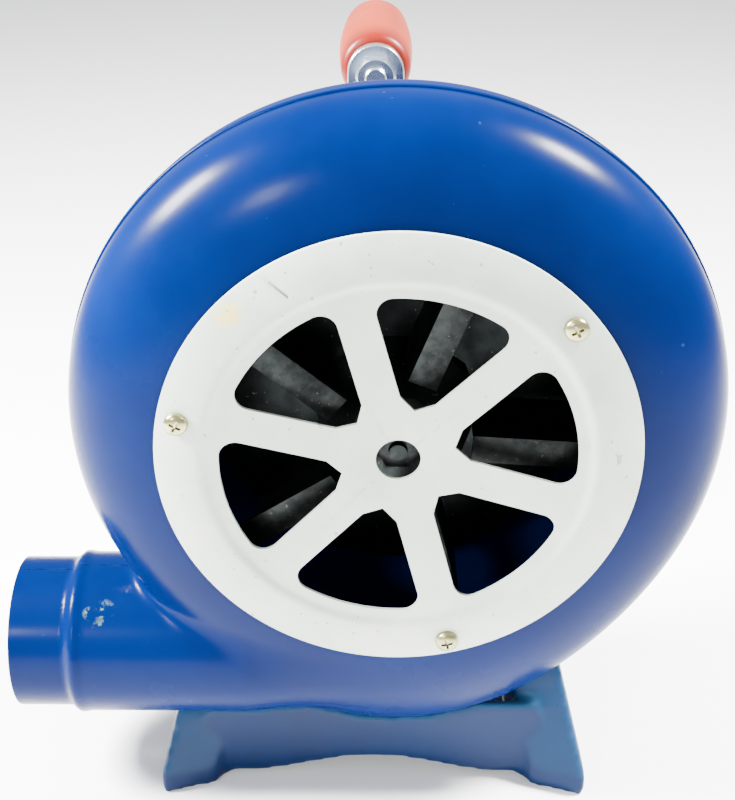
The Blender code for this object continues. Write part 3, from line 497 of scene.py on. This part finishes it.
def make_metal(name, bright, dull, gloss, matt, bumpiness, worn):
    """One metal: a bright and a dull tint, a roughness range and a grain."""
    made, tree, shader = material(name)
    grain = use(tree, GRAIN, Scale=700.0, Patch_Scale=70.0)
    wear = use(tree, WEAR, Start=0.54, End=0.64, Scale=260.0)
    marks = use(tree, MARKS, Scratch_Scale=90.0, Speck_Scale=700.0, Speck_Level=0.72)
    tint = blend_colour(tree, grain["Variation"], bright, dull)
    tint = blend_colour(tree, maths(tree, "MULTIPLY", marks["Specks"], 0.5), tint, (0.08, 0.075, 0.06))
    tint = blend_colour(tree, wear["Mask"], tint, (worn, worn * 1.03, worn))
    rough = rescale(tree, grain["Variation"], 0, 1, gloss, matt)
    connect(tree, shader, Base_Color=tint, Roughness=rough,
            Normal=bump(tree, grain["Height"], bumpiness, 0.08 * MM))
    shader.inputs["Metallic"].default_value = 0.95
    return made


METAL = {name: counted(make_metal(name, *values)) for name, values in METALS.items()}

# %% [markdown]
# ## The orange grip
#
# The grip is moulded in an orange-red plastic. Its arm end is painted a darker red, as painted shade
# where shadow falls on it, and the barrel is paler. The change follows the piece's depth.

# %% Grip finish
def make_grip_plastic():
    """Orange-red plastic with painted shade: darker towards the arm end."""
    made, tree, shader = material("orange_grip")
    grain = use(tree, GRAIN, Scale=460.0, Patch_Scale=60.0)
    marks = use(tree, MARKS, Scratch_Scale=60.0, Speck_Scale=500.0, Speck_Level=0.74)
    place = add(tree, "ShaderNodeTexCoord").outputs["Object"]
    depth = add(tree, "ShaderNodeSeparateXYZ", {"Vector": place}).outputs["Y"]
    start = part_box("grip")[0][1]
    # painted shade: the red darkens towards the arm end, where shadow falls
    along = rescale(tree, depth, start + 1 * MM, start + 16 * MM)
    red = blend_colour(tree, along, (0.10, 0.004, 0.001), (0.23, 0.028, 0.008))
    red = blend_colour(tree, maths(tree, "MULTIPLY", grain["Variation"], 0.3), red, (0.15, 0.011, 0.004))
    red = blend_colour(tree, maths(tree, "MULTIPLY", marks["Scratches"], 0.3), red, (0.45, 0.14, 0.08))
    rough = rescale(tree, grain["Variation"], 0, 1, 0.3, 0.44)
    connect(tree, shader, Base_Color=red, Roughness=rough, Normal=bump(tree, grain["Height"], 0.2, 0.12 * MM))
    shader.inputs["Coat Weight"].default_value = 0.04
    shader.inputs["Coat Roughness"].default_value = 0.18
    shader.inputs["Specular IOR Level"].default_value = 0.2
    return made


GRIP_PLASTIC = counted(make_grip_plastic())

# %% [markdown]
# ## The scroll shells
#
# The casing is a scroll: round at the top, and swelling near the bottom where the outlet leaves.
# Where the pipe meets the scroll, the pressed sheet runs from one into the other through a soft
# crease. A Boolean would leave a hard line there, so the surface is written as a formula instead:
# a distance to the scroll, a distance to the pipe, and a smooth minimum of the two. A rough body
# is remeshed to even quads and each point is then moved onto that formula's zero surface.

# %% The scroll as a formula
WALL = 1.5 * MM
FLAT_R = 52 * MM
ROUND_R = 114.5 * MM
SWELL = 17 * MM
SWELL_ANGLE = -90
SWELL_POWER = 10
RISE = 2.2 * MM
FRONT_FLAT = 0.3 * MM
SEAM = 33 * MM
STRAIGHT = 6 * MM
REAR_DOME = 26 * MM
FULLNESS = 2.5          # 2 would be an ellipse; more is squarer
CREASE = 5 * MM
# each station of the pipe is its x and its radius in millimetres
PIPE_STATIONS = [(-200, 28.3), (-122.0, 28.3), (-120.6, 29.5), (-119.2, 30.7), (-118.2, 30.9),
                 (-117.0, 30.7), (-115.6, 30.35), (-55, 30.3), (40, 21)]
PIPE_END = 40 * MM


def outer_radius(turn):
    """Radius of the scroll at an angle in radians."""
    share = (1 + np.cos(turn - math.radians(SWELL_ANGLE))) / 2
    return ROUND_R + SWELL * share ** SWELL_POWER


def scroll_distance(x, y, z):
    """Rough distance from points to the scroll's surface, negative inside."""
    z = z - RISE * np.clip((np.hypot(x, z) - FLAT_R) / (ROUND_R - FLAT_R), 0, 1)
    reach = outer_radius(np.arctan2(z, x)) - FLAT_R
    out = np.maximum(np.hypot(x, z) - FLAT_R, 0) / reach
    depth = np.where(y < SEAM, SEAM - FRONT_FLAT, REAR_DOME)
    along = np.where(y < SEAM, SEAM - y, np.maximum(y - SEAM - STRAIGHT, 0)) / depth
    total = out ** FULLNESS + along ** FULLNESS + 1e-9
    slope = np.hypot(out ** (FULLNESS - 1) / reach, along ** (FULLNESS - 1) / depth)
    return (total ** (1 / FULLNESS) - 1) / np.maximum(slope * total ** (1 / FULLNESS - 1), 1)


def pipe_distance(x, y, z):
    """Rough distance from points to the outlet pipe's surface, negative inside."""
    stations = np.array(PIPE_STATIONS) * MM
    radius = np.interp(x, stations[:, 0], stations[:, 1])
    return np.maximum(np.hypot(y - SEAM, z - PIPE_HEIGHT) - radius, x - PIPE_END)


def casing_distance(points):
    """Smooth union of scroll and pipe."""
    scroll = scroll_distance(*points.T)
    pipe = pipe_distance(*points.T)
    near = np.maximum(CREASE - np.abs(scroll - pipe), 0) / CREASE
    return np.minimum(scroll, pipe) - near ** 2 * CREASE / 4


def onto_casing(points, rounds=5):
    """Move points onto the casing's surface along its gradient."""
    step = 0.02 * MM
    for _ in range(rounds):
        value = casing_distance(points)
        gradient = np.empty_like(points)
        for axis in range(3):
            shift = np.zeros(3)
            shift[axis] = step
            ahead, behind = casing_distance(points + shift), casing_distance(points - shift)
            gradient[:, axis] = (ahead - behind) / (2 * step)
        size = np.maximum((gradient ** 2).sum(axis=1), 0.2)
        points = points - np.clip(value / size, -3 * MM, 3 * MM)[:, None] * gradient
    return points


print("scroll radius at the top and the bottom:", outer_radius(np.radians([90, -90])).round(4))

# %% [markdown]
# ## A rough body to start from
#
# The remesher needs one closed body per shape, close to the final one. Rings of points are bridged
# into a drum for the scroll and a tube for the pipe. Its own unevenness doesn't matter, because the
# formula above has the last word on where each point goes.

# %% Rough casing, remeshed and moved onto the formula
VOXEL = 1.5 * MM
MOUTH_X = -142 * MM


def bridge(bm, rings):
    """Bridge rings of points into one closed body."""
    loops = []
    for ring in rings:
        points = [bm.verts.new(point) for point in ring]
        loops.append([bm.edges.new(pair) for pair in zip(points, points[1:] + points[:1])])
    for lower, upper in zip(loops, loops[1:]):
        bmesh.ops.bridge_loops(bm, edges=lower + upper)
    for loop in (loops[0], loops[-1]):
        bmesh.ops.contextual_create(bm, geom=loop)


def scroll_rings(around=120, across=12):
    """Rings of the scroll's rough body from front to back."""
    stations = []
    for step in range(across + 1):
        bulge = math.pi / 2 * step / across
        power = 2 / FULLNESS
        stations.append((math.sin(bulge) ** power, math.cos(bulge) ** power))
    places = [(out, SEAM - (SEAM - FRONT_FLAT) * along) for out, along in stations]
    places += [(out, SEAM + STRAIGHT + REAR_DOME * along) for out, along in reversed(stations)]
    rings = []
    for out, y in places:
        ring = []
        for step in range(around):
            turn = 2 * math.pi * step / around
            x, z = polar(FLAT_R + (float(outer_radius(turn)) - FLAT_R) * out, math.degrees(turn))
            ring.append((x, y, z + RISE * out))
        rings.append(ring)
    return rings


def pipe_rings(around=64):
    """Rings of the pipe's rough body, a little longer than the pipe."""
    rings = []
    for x, radius in [(-150, 28.3)] + PIPE_STATIONS[1:]:
        circle = [polar(radius * MM, 360 * step / around, (SEAM, PIPE_HEIGHT)) for step in range(around)]
        rings.append([(x * MM, y, z) for y, z in circle])
    return rings


def coordinates(mesh):
    """Read a mesh's points as an array."""
    points = np.empty(len(mesh.vertices) * 3)
    mesh.vertices.foreach_get("co", points)
    return points.reshape(-1, 3)


def make_casing():
    """Closed casing with even quads, exactly on the formula's surface."""
    bm = bmesh.new()
    bridge(bm, scroll_rings())
    bridge(bm, pipe_rings())
    bmesh.ops.recalc_face_normals(bm, faces=bm.faces)
    casing = piece_from(bm, "casing")
    remesh = casing.modifiers.new("remesh", "REMESH")
    remesh.mode = "VOXEL"
    remesh.voxel_size = VOXEL
    settled_mesh(casing)
    origin = np.array(AXIS)
    for _ in range(3):
        points = onto_casing(coordinates(casing.data) - origin) + origin
        casing.data.vertices.foreach_set("co", points.ravel())
        bm = bmesh.new()
        bm.from_mesh(casing.data)
        smooth(bm)
        bm.to_mesh(casing.data)
        bm.free()
    points = onto_casing(coordinates(casing.data) - origin) + origin
    casing.data.vertices.foreach_set("co", points.ravel())
    print("casing:", len(casing.data.vertices), "points")
    return casing


CASING = make_casing()

# %% [markdown]
# ## Cutting the casing into its two pressings
#
# The casing comes apart at a flat seam. Each half keeps one side of that plane, is trimmed at the
# pipe's mouth, and gets the sheet's thickness on its inside. The front half also has the round
# inlet: the faces inside it go, and the points left on the rim are drawn onto a true circle. The
# frame holds the front pressing as three nodes, for its collision; one sheet stands for all three.

# %% Front and rear shells
INLET_R = 67 * MM
SEAM_GAP = 0.3 * MM


def half_of_casing(name, side):
    """Copy the casing and keep the half in front of the seam (-1) or behind it (1)."""
    bm = bmesh.new()
    bm.from_mesh(CASING.data)
    bmesh.ops.translate(bm, verts=bm.verts, vec=-AXIS)
    seam_cut = ((0, SEAM + side * SEAM_GAP / 2, 0), (0, -side, 0))
    mouth_cut = ((MOUTH_X, 0, 0), (-1, 0, 0))
    for place, direction in (seam_cut, mouth_cut):
        bmesh.ops.bisect_plane(bm, geom=bm.verts[:] + bm.edges[:] + bm.faces[:], dist=1e-6, plane_co=place,
                               plane_no=direction, clear_outer=True)
    return bm


def open_inlet(bm):
    """Take out the front's middle and draw its rim onto a circle."""
    inside = [face for face in bm.faces
              if math.hypot(face.calc_center_median().x, face.calc_center_median().z) < INLET_R
              and face.calc_center_median().y < SEAM / 2]
    bmesh.ops.delete(bm, geom=inside, context="FACES")
    for vert in bm.verts:
        radius = math.hypot(vert.co.x, vert.co.z)
        if vert.is_boundary and radius < INLET_R * 1.1:
            vert.co.x *= INLET_R / radius
            vert.co.z *= INLET_R / radius


def make_shell(name, side, *nodes):
    """One pressed half with its thickness."""
    bm = half_of_casing(name, side)
    if side < 0:
        open_inlet(bm)
    shell = piece_from(bm, name)
    thickness = shell.modifiers.new("sheet", "SOLIDIFY")
    thickness.thickness = WALL
    thickness.offset = -1
    settled_mesh(shell)
    shell.data.shade_smooth()
    shell.data.set_sharp_from_angle(angle=math.radians(50))
    dress(shell, ENAMEL, "blue_enamel", "housing", *nodes)


make_shell("scroll_front", -1, "front_shell", "front_shell_right", "outlet_front")
make_shell("scroll_rear", 1, "rear_shell")
bpy.data.objects.remove(CASING)

# %% [markdown]
# ## The rolled hem
#
# Behind the seam the rear pressing is rolled outwards into a narrow hem, which catches a thin line
# of light round the top of the scroll. It is a small rounded strip that follows the scroll's
# outline from one side of the stand to the pipe.

# %% Hem round the seam
HEM_OUT = 0.8 * MM
HEM_WIDTH = 2.4 * MM
HEM_FROM, HEM_TO = -45, 196


def make_hem():
    """Sweep a small rounded section along the scroll's outline."""
    section = []
    for step in range(9):
        turn = math.pi * step / 8
        section.append((HEM_OUT * math.sin(turn) ** 0.6, HEM_WIDTH / 2 * (1 - math.cos(turn))))
    section += [(-WALL / 2, HEM_WIDTH), (-WALL / 2, 0)]
    rings = []
    for degrees in range(HEM_FROM, HEM_TO + 1):
        ends = min(1, (degrees - HEM_FROM) / 6, (HEM_TO - degrees) / 6)
        ring = []
        for out, along in section:
            rise = out * max(ends, 0) if out > 0 else out
            x, z = polar(float(outer_radius(math.radians(degrees))) + rise, degrees)
            ring.append((x, SEAM + SEAM_GAP / 2 + along, z + RISE))
        rings.append(ring)
    bm = bmesh.new()
    bridge(bm, rings)
    bmesh.ops.recalc_face_normals(bm, faces=bm.faces)
    hem = piece_from(bm, "seam_hem")
    hem.data.shade_smooth()
    hem.data.set_sharp_from_angle(angle=math.radians(50))
    hem.data.materials.append(ENAMEL)
    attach(hem, "housing")
    print(f"{hem.name}: {len(rings)} sections, rides on housing")


make_hem()

# %% [markdown]
# ## The inlet guard
#
# The guard is one stamped disc. Its flange rises a little towards the middle, drops over a short
# step, and the dish then slopes back to a small hole. Six windows with rounded outer corners leave
# six spokes. The disc is spun from its profile, and each window is cut by an extruded outline.

# %% Guard disc with its windows
GUARD_T = 1.2 * MM
GUARD_FRONT = [(7.5, 2.3), (30, 1.1), (61.8, -0.62), (62.8, -0.72), (63.7, -1.0), (64.6, -1.5), (65.5, -1.85),
               (66.6, -1.92), (68, -1.8), (80.6, -0.05), (81, 0.25)]
WINDOW_R = 59.5 * MM
WINDOW_CORNER = 5.5 * MM
WINDOW_INNER = 24 * MM
WINDOW_POINT = 19.4 * MM
SPOKE_HALF = 6.4 * MM
SPOKE_ANGLE = 44.8
SLIT_PLACE, SLIT_TURN = (73 * MM, 121), -40


def window_outline(middle_angle):
    """Window between two spokes: rounded at the rim, a shallow point inside."""
    bend_r = WINDOW_R - WINDOW_CORNER
    lean = math.degrees(math.asin((SPOKE_HALF + WINDOW_CORNER) / bend_r))
    inner = math.hypot(math.sqrt(WINDOW_INNER ** 2 - SPOKE_HALF ** 2), SPOKE_HALF)
    inner_turn = 30 - math.degrees(math.asin(SPOKE_HALF / inner))
    centre = polar(bend_r, 30 - lean)
    half = [polar(inner, inner_turn)]
    half += [polar(WINDOW_CORNER, 120 + (30 - lean - 120) * step / 12, centre) for step in range(13)]
    rim = [polar(WINDOW_R, (30 - lean) * (1 - step / 8)) for step in range(1, 16)]
    outline = [(WINDOW_POINT, 0.0)] + half + rim + [(x, -z) for x, z in reversed(half)]
    return turned(outline, middle_angle)


def bar(name, centre, length, width, degrees, near, far):
    """A straight bar across the axis, turned about its own middle."""
    x, z = length / 2, width / 2
    corners = [(-x, -z), (x, -z), (x, z), (-x, z)]
    return slab(name, turned(corners, degrees, centre), near, far)


def make_guard():
    """Spin the disc, cut its windows and slit, and round its edges."""
    front = [(radius * MM, depth * MM) for radius, depth in GUARD_FRONT]
    back = [(radius, depth + GUARD_T) for radius, depth in reversed(front)]
    guard = spun("guard_disc", front + back, steps=180)
    for index in range(6):
        boolean(guard, slab("cutter", window_outline(SPOKE_ANGLE + 30 + 60 * index), -6 * MM, 8 * MM))
    boolean(guard, bar("cutter", polar(*SLIT_PLACE), 8 * MM, 0.9 * MM, SLIT_TURN, -4 * MM, -0.5 * MM))
    round_edges(guard, 0.3 * MM)
    dress(guard, GUARD_PAINT, "guard_paint", "housing", "inlet_guard")


make_guard()

# %% [markdown]
# ## Castings
#
# Cast pieces have no sharp corners: the sand or the die needs a radius at every edge, and paint
# fills the rest. The frame's stand has the right shape but sharp edges, so a copy of it is merged,
# remeshed with small even faces and smoothed a little. That rounds every edge by about a millimetre.

# %% Stand, gearcase and cover
SOFTENING_ROUNDS = 4
CASTINGS = (("stand_casting", "gearcase_stand", 1.5 * MM), ("case_cover", "gearcase_cover", 1.0 * MM))


def casting(name, node, voxel):
    """Soften a merged copy of a node's mesh into a casting."""
    floor_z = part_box(node)[0][2]
    bm = bmesh.new()
    bm.from_mesh(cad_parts[node].data)
    bmesh.ops.remove_doubles(bm, verts=bm.verts, dist=0.01 * MM)
    bmesh.ops.translate(bm, verts=bm.verts, vec=-AXIS)
    piece = piece_from(bm, name)
    remesh = piece.modifiers.new("remesh", "REMESH")
    remesh.mode = "VOXEL"
    remesh.voxel_size = voxel
    settled_mesh(piece)
    bm = bmesh.new()
    bm.from_mesh(piece.data)
    for _ in range(SOFTENING_ROUNDS):
        smooth(bm)
    for vert in bm.verts:
        vert.co.z = max(vert.co.z, floor_z)
    bm.to_mesh(piece.data)
    bm.free()
    piece.data.shade_smooth()
    return piece


for name, node, voxel in CASTINGS:
    dress(casting(name, node, voxel), CASTING_PAINT, "blue_enamel", "housing", node)

# %% [markdown]
# ## The fan
#
# The fan is seen only through the windows, as dark blades whose turned-over lips are a little
# paler. The frame's fan has those shapes; a merged copy gets rounded edges, because the thin line
# of light along each blade is the shine of its rounded edge.

# %% Fan wheel
def make_fan():
    """Merged copy of the fan with rounded edges."""
    bm = bmesh.new()
    bm.from_mesh(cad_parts["impeller"].data)
    bmesh.ops.remove_doubles(bm, verts=bm.verts, dist=0.01 * MM)
    bmesh.ops.dissolve_limit(bm, angle_limit=math.radians(2), verts=bm.verts, edges=bm.edges)
    bmesh.ops.translate(bm, verts=bm.verts, vec=-AXIS)
    fan = piece_from(bm, "fan_wheel")
    round_edges(fan, 0.35 * MM)
    dress(fan, METAL["cast_alloy"], "cast_alloy", "fan", "impeller")


make_fan()

# %% [markdown]
# ## Screws
#
# A pan head is a low dome with a rounded rim and a cross-shaped recess that narrows towards its
# floor. The head is spun from its profile. The recess is cut with two tapered bars: a driver's
# tip is a tapered cross too, which is why it centres itself.

# %% Pan-head screws
HEAD_HEIGHT, HEAD_CROWN, SHANK_R = 2.8 * MM, 0.72, 2 * MM
RECESS_LENGTH, RECESS_WIDTH, RECESS_DEPTH = 5 * MM, 1.15 * MM, 1.6 * MM


def tapered_bar(name, centre, length, width, degrees, mouth, floor, taper=0.62):
    """Bar from the head's top down to the recess floor, narrower at the floor."""
    cutter = bar(name, centre, length, width, degrees, min(mouth, floor), max(mouth, floor))
    for vert in cutter.data.vertices:
        if abs(vert.co.y - AXIS.y - floor) < 0.01 * MM:
            vert.co.x = AXIS.x + centre[0] + (vert.co.x - AXIS.x - centre[0]) * taper
            vert.co.z = AXIS.z + centre[1] + (vert.co.z - AXIS.z - centre[1]) * taper
    return cutter


def make_screw(name, node, metal, facing, turn):
    """Pan-head screw in a node's place; facing is -1 when its head looks forward."""
    near, far = depths(node)
    top, tip = (near, far) if facing < 0 else (far, near)
    centre = centre_of(node)
    radius = half_width(node)

    def depth(below):
        return top - facing * below
    profile = [(0, top)]
    for step in range(1, 9):
        bulge = math.pi / 2 * step / 8
        drop = HEAD_HEIGHT * HEAD_CROWN * (1 - math.cos(bulge) ** 0.9)
        profile.append((radius * math.sin(bulge) ** 0.8, depth(drop)))
    under = depth(HEAD_HEIGHT)
    profile += [(radius, under), (SHANK_R, under), (SHANK_R, tip), (0, tip)]
    screw = spun(name, profile, centre, 48)
    for angle in (turn, turn + 90):
        boolean(screw, tapered_bar("cutter", centre, RECESS_LENGTH, RECESS_WIDTH, angle,
                                   depth(-MM), depth(RECESS_DEPTH)))
    round_edges(screw, 0.12 * MM)
    dress(screw, METAL[metal], metal, "housing", node)


for index, turn in enumerate((28, 62, 12), 1):
    make_screw(f"guard_fixing_{index}", f"guard_screw_{index}", "yellow_zinc", -1, turn)
for index, turn in enumerate((5, 40, 71, 22), 1):
    make_screw(f"cover_fixing_{index}", f"cover_screw_{index}", "zinc", 1, turn)

# %% [markdown]
# ## Nuts, washers and threads
#
# A nut is a hexagon whose corners are turned off at both faces. The hexagon is intersected with a
# spun blank that has those chamfers, which gives the curved edges that a real nut has. A thread
# that shows past a nut is a few V-shaped ridges in the spun profile of its bolt.

# %% Nuts and washers
def make_nut(name, node, body, bore):
    """Chamfered hexagon nut in a node's place."""
    near, far = depths(node)
    centre = centre_of(node)
    corner = half_width(node)
    flat = corner * math.cos(math.pi / 6)
    chamfer = corner - flat
    nut = slab(name, [polar(corner, 60 * step, centre) for step in range(6)], near, far)
    blank = [(0, near), (flat, near), (corner + 0.01 * MM, near + chamfer * 0.6),
             (corner + 0.01 * MM, far - chamfer * 0.6), (flat, far), (0, far)]
    boolean(nut, spun("blank", blank, centre), "INTERSECT")
    boolean(nut, bore_tool(bore, near, far, centre))
    round_edges(nut, 0.15 * MM, angle=25)
    dress(nut, METAL["zinc"], "zinc", body, node)


def make_washer(name, node, body, bore):
    """Flat washer with rounded edges in a node's place."""
    near, far = depths(node)
    radius = half_width(node)
    washer = spun(name, [(bore, near), (radius, near), (radius, far), (bore, far)], centre_of(node))
    round_edges(washer, 0.25 * MM, 3)
    dress(washer, METAL["zinc"], "zinc", body, node)


make_nut("crank_locknut", "crank_nut", "crank", 5.3 * MM)
make_nut("grip_locknut", "grip_nut", "crank", 4.3 * MM)
make_washer("crank_flat_washer", "crank_washer", "crank", 5.3 * MM)
make_washer("grip_near_washer", "grip_washer_inner", "crank", 4.3 * MM)
make_washer("grip_far_washer", "grip_washer_outer", "crank", 4.3 * MM)

# %% Crank shaft and grip bolt
def thread(radius, start, end, pitch=1.25 * MM, height=0.5 * MM):
    """Profile points of a V thread from one depth to another."""
    count = max(2, round(abs(end - start) / pitch))
    points = []
    for step in range(count):
        points.append((radius - height, start + (end - start) * step / count))
        points.append((radius, start + (end - start) * (step + 0.5) / count))
    return points + [(radius - height, end)]


def make_crank_shaft():
    """Shaft with a shoulder for the arm and a threaded end."""
    near, far = depths("crank_shaft")
    arm_near = depths("crank_arm")[0]
    radius = half_width("crank_shaft")
    stud = 5 * MM
    shoulder = arm_near - 0.3 * MM
    plain_end = depths("crank_nut")[0]
    profile = [(0, near), (radius, near), (radius, shoulder), (stud, shoulder)] + thread(stud, plain_end, far)
    shaft = spun("drive_shaft", profile + [(0, far)], centre_of("crank_shaft"), 64)
    shaft.data.shade_smooth()
    shaft.data.set_sharp_from_angle(angle=math.radians(35))
    dress(shaft, METAL["steel"], "steel", "crank", "crank_shaft")


def make_grip_bolt():
    """Bolt through the grip: hexagon head at the far end, thread past the nut at the near one."""
    near, far = depths("grip_bolt")
    centre = centre_of("grip_bolt")
    radius = 4 * MM
    head = depths("grip_washer_outer")[1] + 0.3 * MM
    thread_end = depths("crank_arm")[0]
    profile = [(0, near)] + thread(radius, near, thread_end)
    profile += [(radius, thread_end), (radius, head + MM), (0, head + MM)]
    bolt = spun("grip_axle", profile, centre, 48)
    corner = half_width("grip_bolt")
    hexagon = slab("head", [polar(corner, 60 * step, centre) for step in range(6)], head, far)
    boolean(bolt, hexagon, "UNION")
    bolt.data.shade_smooth()
    bolt.data.set_sharp_from_angle(angle=math.radians(35))
    dress(bolt, METAL["zinc"], "zinc", "crank", "grip_bolt")


make_crank_shaft()
make_grip_bolt()

# %% [markdown]
# ## The crank arm
#
# The arm is a flat bar with a wide round end for the shaft and a narrow one for the grip. Its
# outline is two arcs and two straight sides, worked out from the frame's sizes, and its rounded
# edge is what draws the bright ring round the end that shows above the scroll.

# %% Crank arm
def make_arm():
    """Bar with round ends and two bores."""
    near, far = depths("crank_arm")
    hub = centre_of("crank_shaft")
    tip = centre_of("grip_bolt")
    hub_r = half_width("crank_arm")
    end_r = 10.5 * MM
    meet = math.degrees(math.acos(end_r / hub_r))
    outline = [polar(hub_r, 180 - meet + (180 + 2 * meet) * step / 40, hub) for step in range(41)]
    outline += [polar(end_r, 180 * step / 30, tip) for step in range(31)]
    arm = slab("crank_bar", outline, near, far)
    for centre, bore in ((hub, 5.3 * MM), (tip, 4.3 * MM)):
        boolean(arm, bore_tool(bore, near, far, centre))
    round_edges(arm, 0.7 * MM, 3)
    dress(arm, METAL["zinc"], "zinc", "crank", "crank_arm")


make_arm()

# %% [markdown]
# ## The grip
#
# The grip is a barrel: widest in the middle, with rounded ends, and with a counterbore at its far
# end that hides the bolt's head. It spins on the bolt, so it is a piece of its own.

# %% Grip
def make_grip():
    """Spin the barrel with its rounded ends and its counterbore."""
    near, far = depths("grip")
    widest = half_width("grip")
    end_r = 13 * MM
    fillet = 3.2 * MM
    bore, counterbore, sunk = 4.3 * MM, 9.2 * MM, 9 * MM
    profile = [(bore, near)]
    for step in range(9):
        turn = math.pi / 2 * step / 8
        profile.append((end_r - fillet + fillet * math.sin(turn), near + fillet * (1 - math.cos(turn))))
    for step in range(1, 24):
        share = step / 24
        swell = (widest - end_r) * math.sin(math.pi * share)
        profile.append((end_r + swell, near + fillet + (far - near - 2 * fillet) * share))
    for step in range(9):
        turn = math.pi / 2 * (1 - step / 8)
        profile.append((end_r - fillet + fillet * math.sin(turn), far - fillet * (1 - math.cos(turn))))
    profile += [(counterbore, far), (counterbore, far - sunk), (bore, far - sunk)]
    grip = spun("grip_barrel", profile, centre_of("grip_bolt"), 96)
    grip.data.shade_smooth()
    grip.data.set_sharp_from_angle(angle=math.radians(50))
    dress(grip, GRIP_PLASTIC, "orange_grip", "grip", "grip")


make_grip()

# %% [markdown]
# ## Pieces that keep the frame's own shape
#
# Gears, pins, bushes and the small parts on the fan shaft are already the right shape, and are seen
# only when the blower is opened or through its windows. They keep their meshes and get their metals.
# The nut in the guard's hole is as dull as the fan behind it, so it gets the fan's finish.

# %% Metals on the remaining nodes
def paint_node(node, metal):
    """Put a material in a frame node's slots."""
    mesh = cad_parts[node].data
    mesh.materials.clear()
    mesh.materials.append(METAL[metal])


KEPT = {"bronze": ("fan_bush_front", "fan_bush_rear", "crank_bush"),
        "steel": ("idler_pin", "crank_gear", "idler_pinion", "idler_gear", "fan_pinion"),
        "cast_alloy": ("fan_shaft", "fan_washer", "fan_nut"),
        "zinc": ("shell_screw_1", "shell_screw_2", "shell_screw_3")}
for metal, nodes in KEPT.items():
    for node in nodes:
        paint_node(node, metal)
print("kept from the frame:", sum(len(nodes) for nodes in KEPT.values()), "nodes")

# %% [markdown]
# ## Floor, light and camera
#
# The blower stands on a plain pale floor, under an even pale sky. Gloss paint shows whatever is
# around it: one small strong panel high at each side draws a highlight on each shoulder of the
# scroll, and a weaker one in front opens up the guard. The camera looks down at the guard.

# %% Floor
def make_floor():
    """Large pale floor with a faint unevenness."""
    bm = bmesh.new()
    bmesh.ops.create_grid(bm, x_segments=8, y_segments=8, size=6)
    mesh = bpy.data.meshes.new("floor")
    bm.to_mesh(mesh)
    bm.free()
    floor = bpy.data.objects.new("floor", mesh)
    bpy.context.collection.objects.link(floor)
    made, tree, shader = material("floor")
    soft = noise(tree, 3.0, 3.0)
    connect(tree, shader, Base_Color=blend_colour(tree, soft, (0.94, 0.94, 0.94), (0.97, 0.97, 0.97)))
    shader.inputs["Roughness"].default_value = 0.6
    mesh.materials.append(made)


make_floor()

# %% Lights and camera
PANELS = (("right_panel", (0.55, 0.0, 0.78), (0.17, 0.17), 70),
          ("left_panel", (-0.62, -0.1, 0.62), (0.17, 0.2), 85),
          ("front_panel", (-0.5, -1.0, 0.7), (0.16, 0.16), 9))
SKY_COLOUR, SKY_STRENGTH = (0.96, 0.98, 1, 1), 1.0


def panel(name, place, size, power):
    """Area light that looks at the middle of the scroll."""
    data = bpy.data.lights.new(name, "AREA")
    data.shape = "RECTANGLE"
    data.size, data.size_y = size
    data.energy = power
    light = bpy.data.objects.new(name, data)
    bpy.context.collection.objects.link(light)
    light.location = place
    aim = Vector((AXIS.x, 0, AXIS.z)) - Vector(place)
    light.rotation_euler = aim.to_track_quat("-Z", "Y").to_euler()


for row in PANELS:
    panel(*row)
    print(row[0], "at", row[1], "with", row[3], "W")
world = bpy.data.worlds.new("studio")
world.use_nodes = True
world.node_tree.nodes["Background"].inputs["Color"].default_value = SKY_COLOUR
world.node_tree.nodes["Background"].inputs["Strength"].default_value = SKY_STRENGTH
bpy.context.scene.world = world

CAMERA_FROM_GUARD = Vector((-0.0074, -0.3757, 0.2222))
CAMERA_PITCH, CAMERA_TURN = 27.85, 0.43
CAMERA_LENS, CAMERA_SENSOR = 59.3, 36
camera_data = bpy.data.cameras.new("camera")
camera_data.lens = CAMERA_LENS
camera_data.sensor_width = CAMERA_SENSOR
camera = bpy.data.objects.new("camera", camera_data)
bpy.context.collection.objects.link(camera)
camera.location = AXIS + CAMERA_FROM_GUARD
camera.rotation_euler = (math.radians(90 - CAMERA_PITCH), 0, math.radians(CAMERA_TURN))
bpy.context.scene.camera = camera
print("camera at", [round(part, 3) for part in camera.location])

# %% [markdown]
# ## Last step
#
# The view layer is brought up to date at the end. The looks must not make the blower
# bigger than its frame.

# %% Bring the scene up to date
bpy.context.view_layer.update()
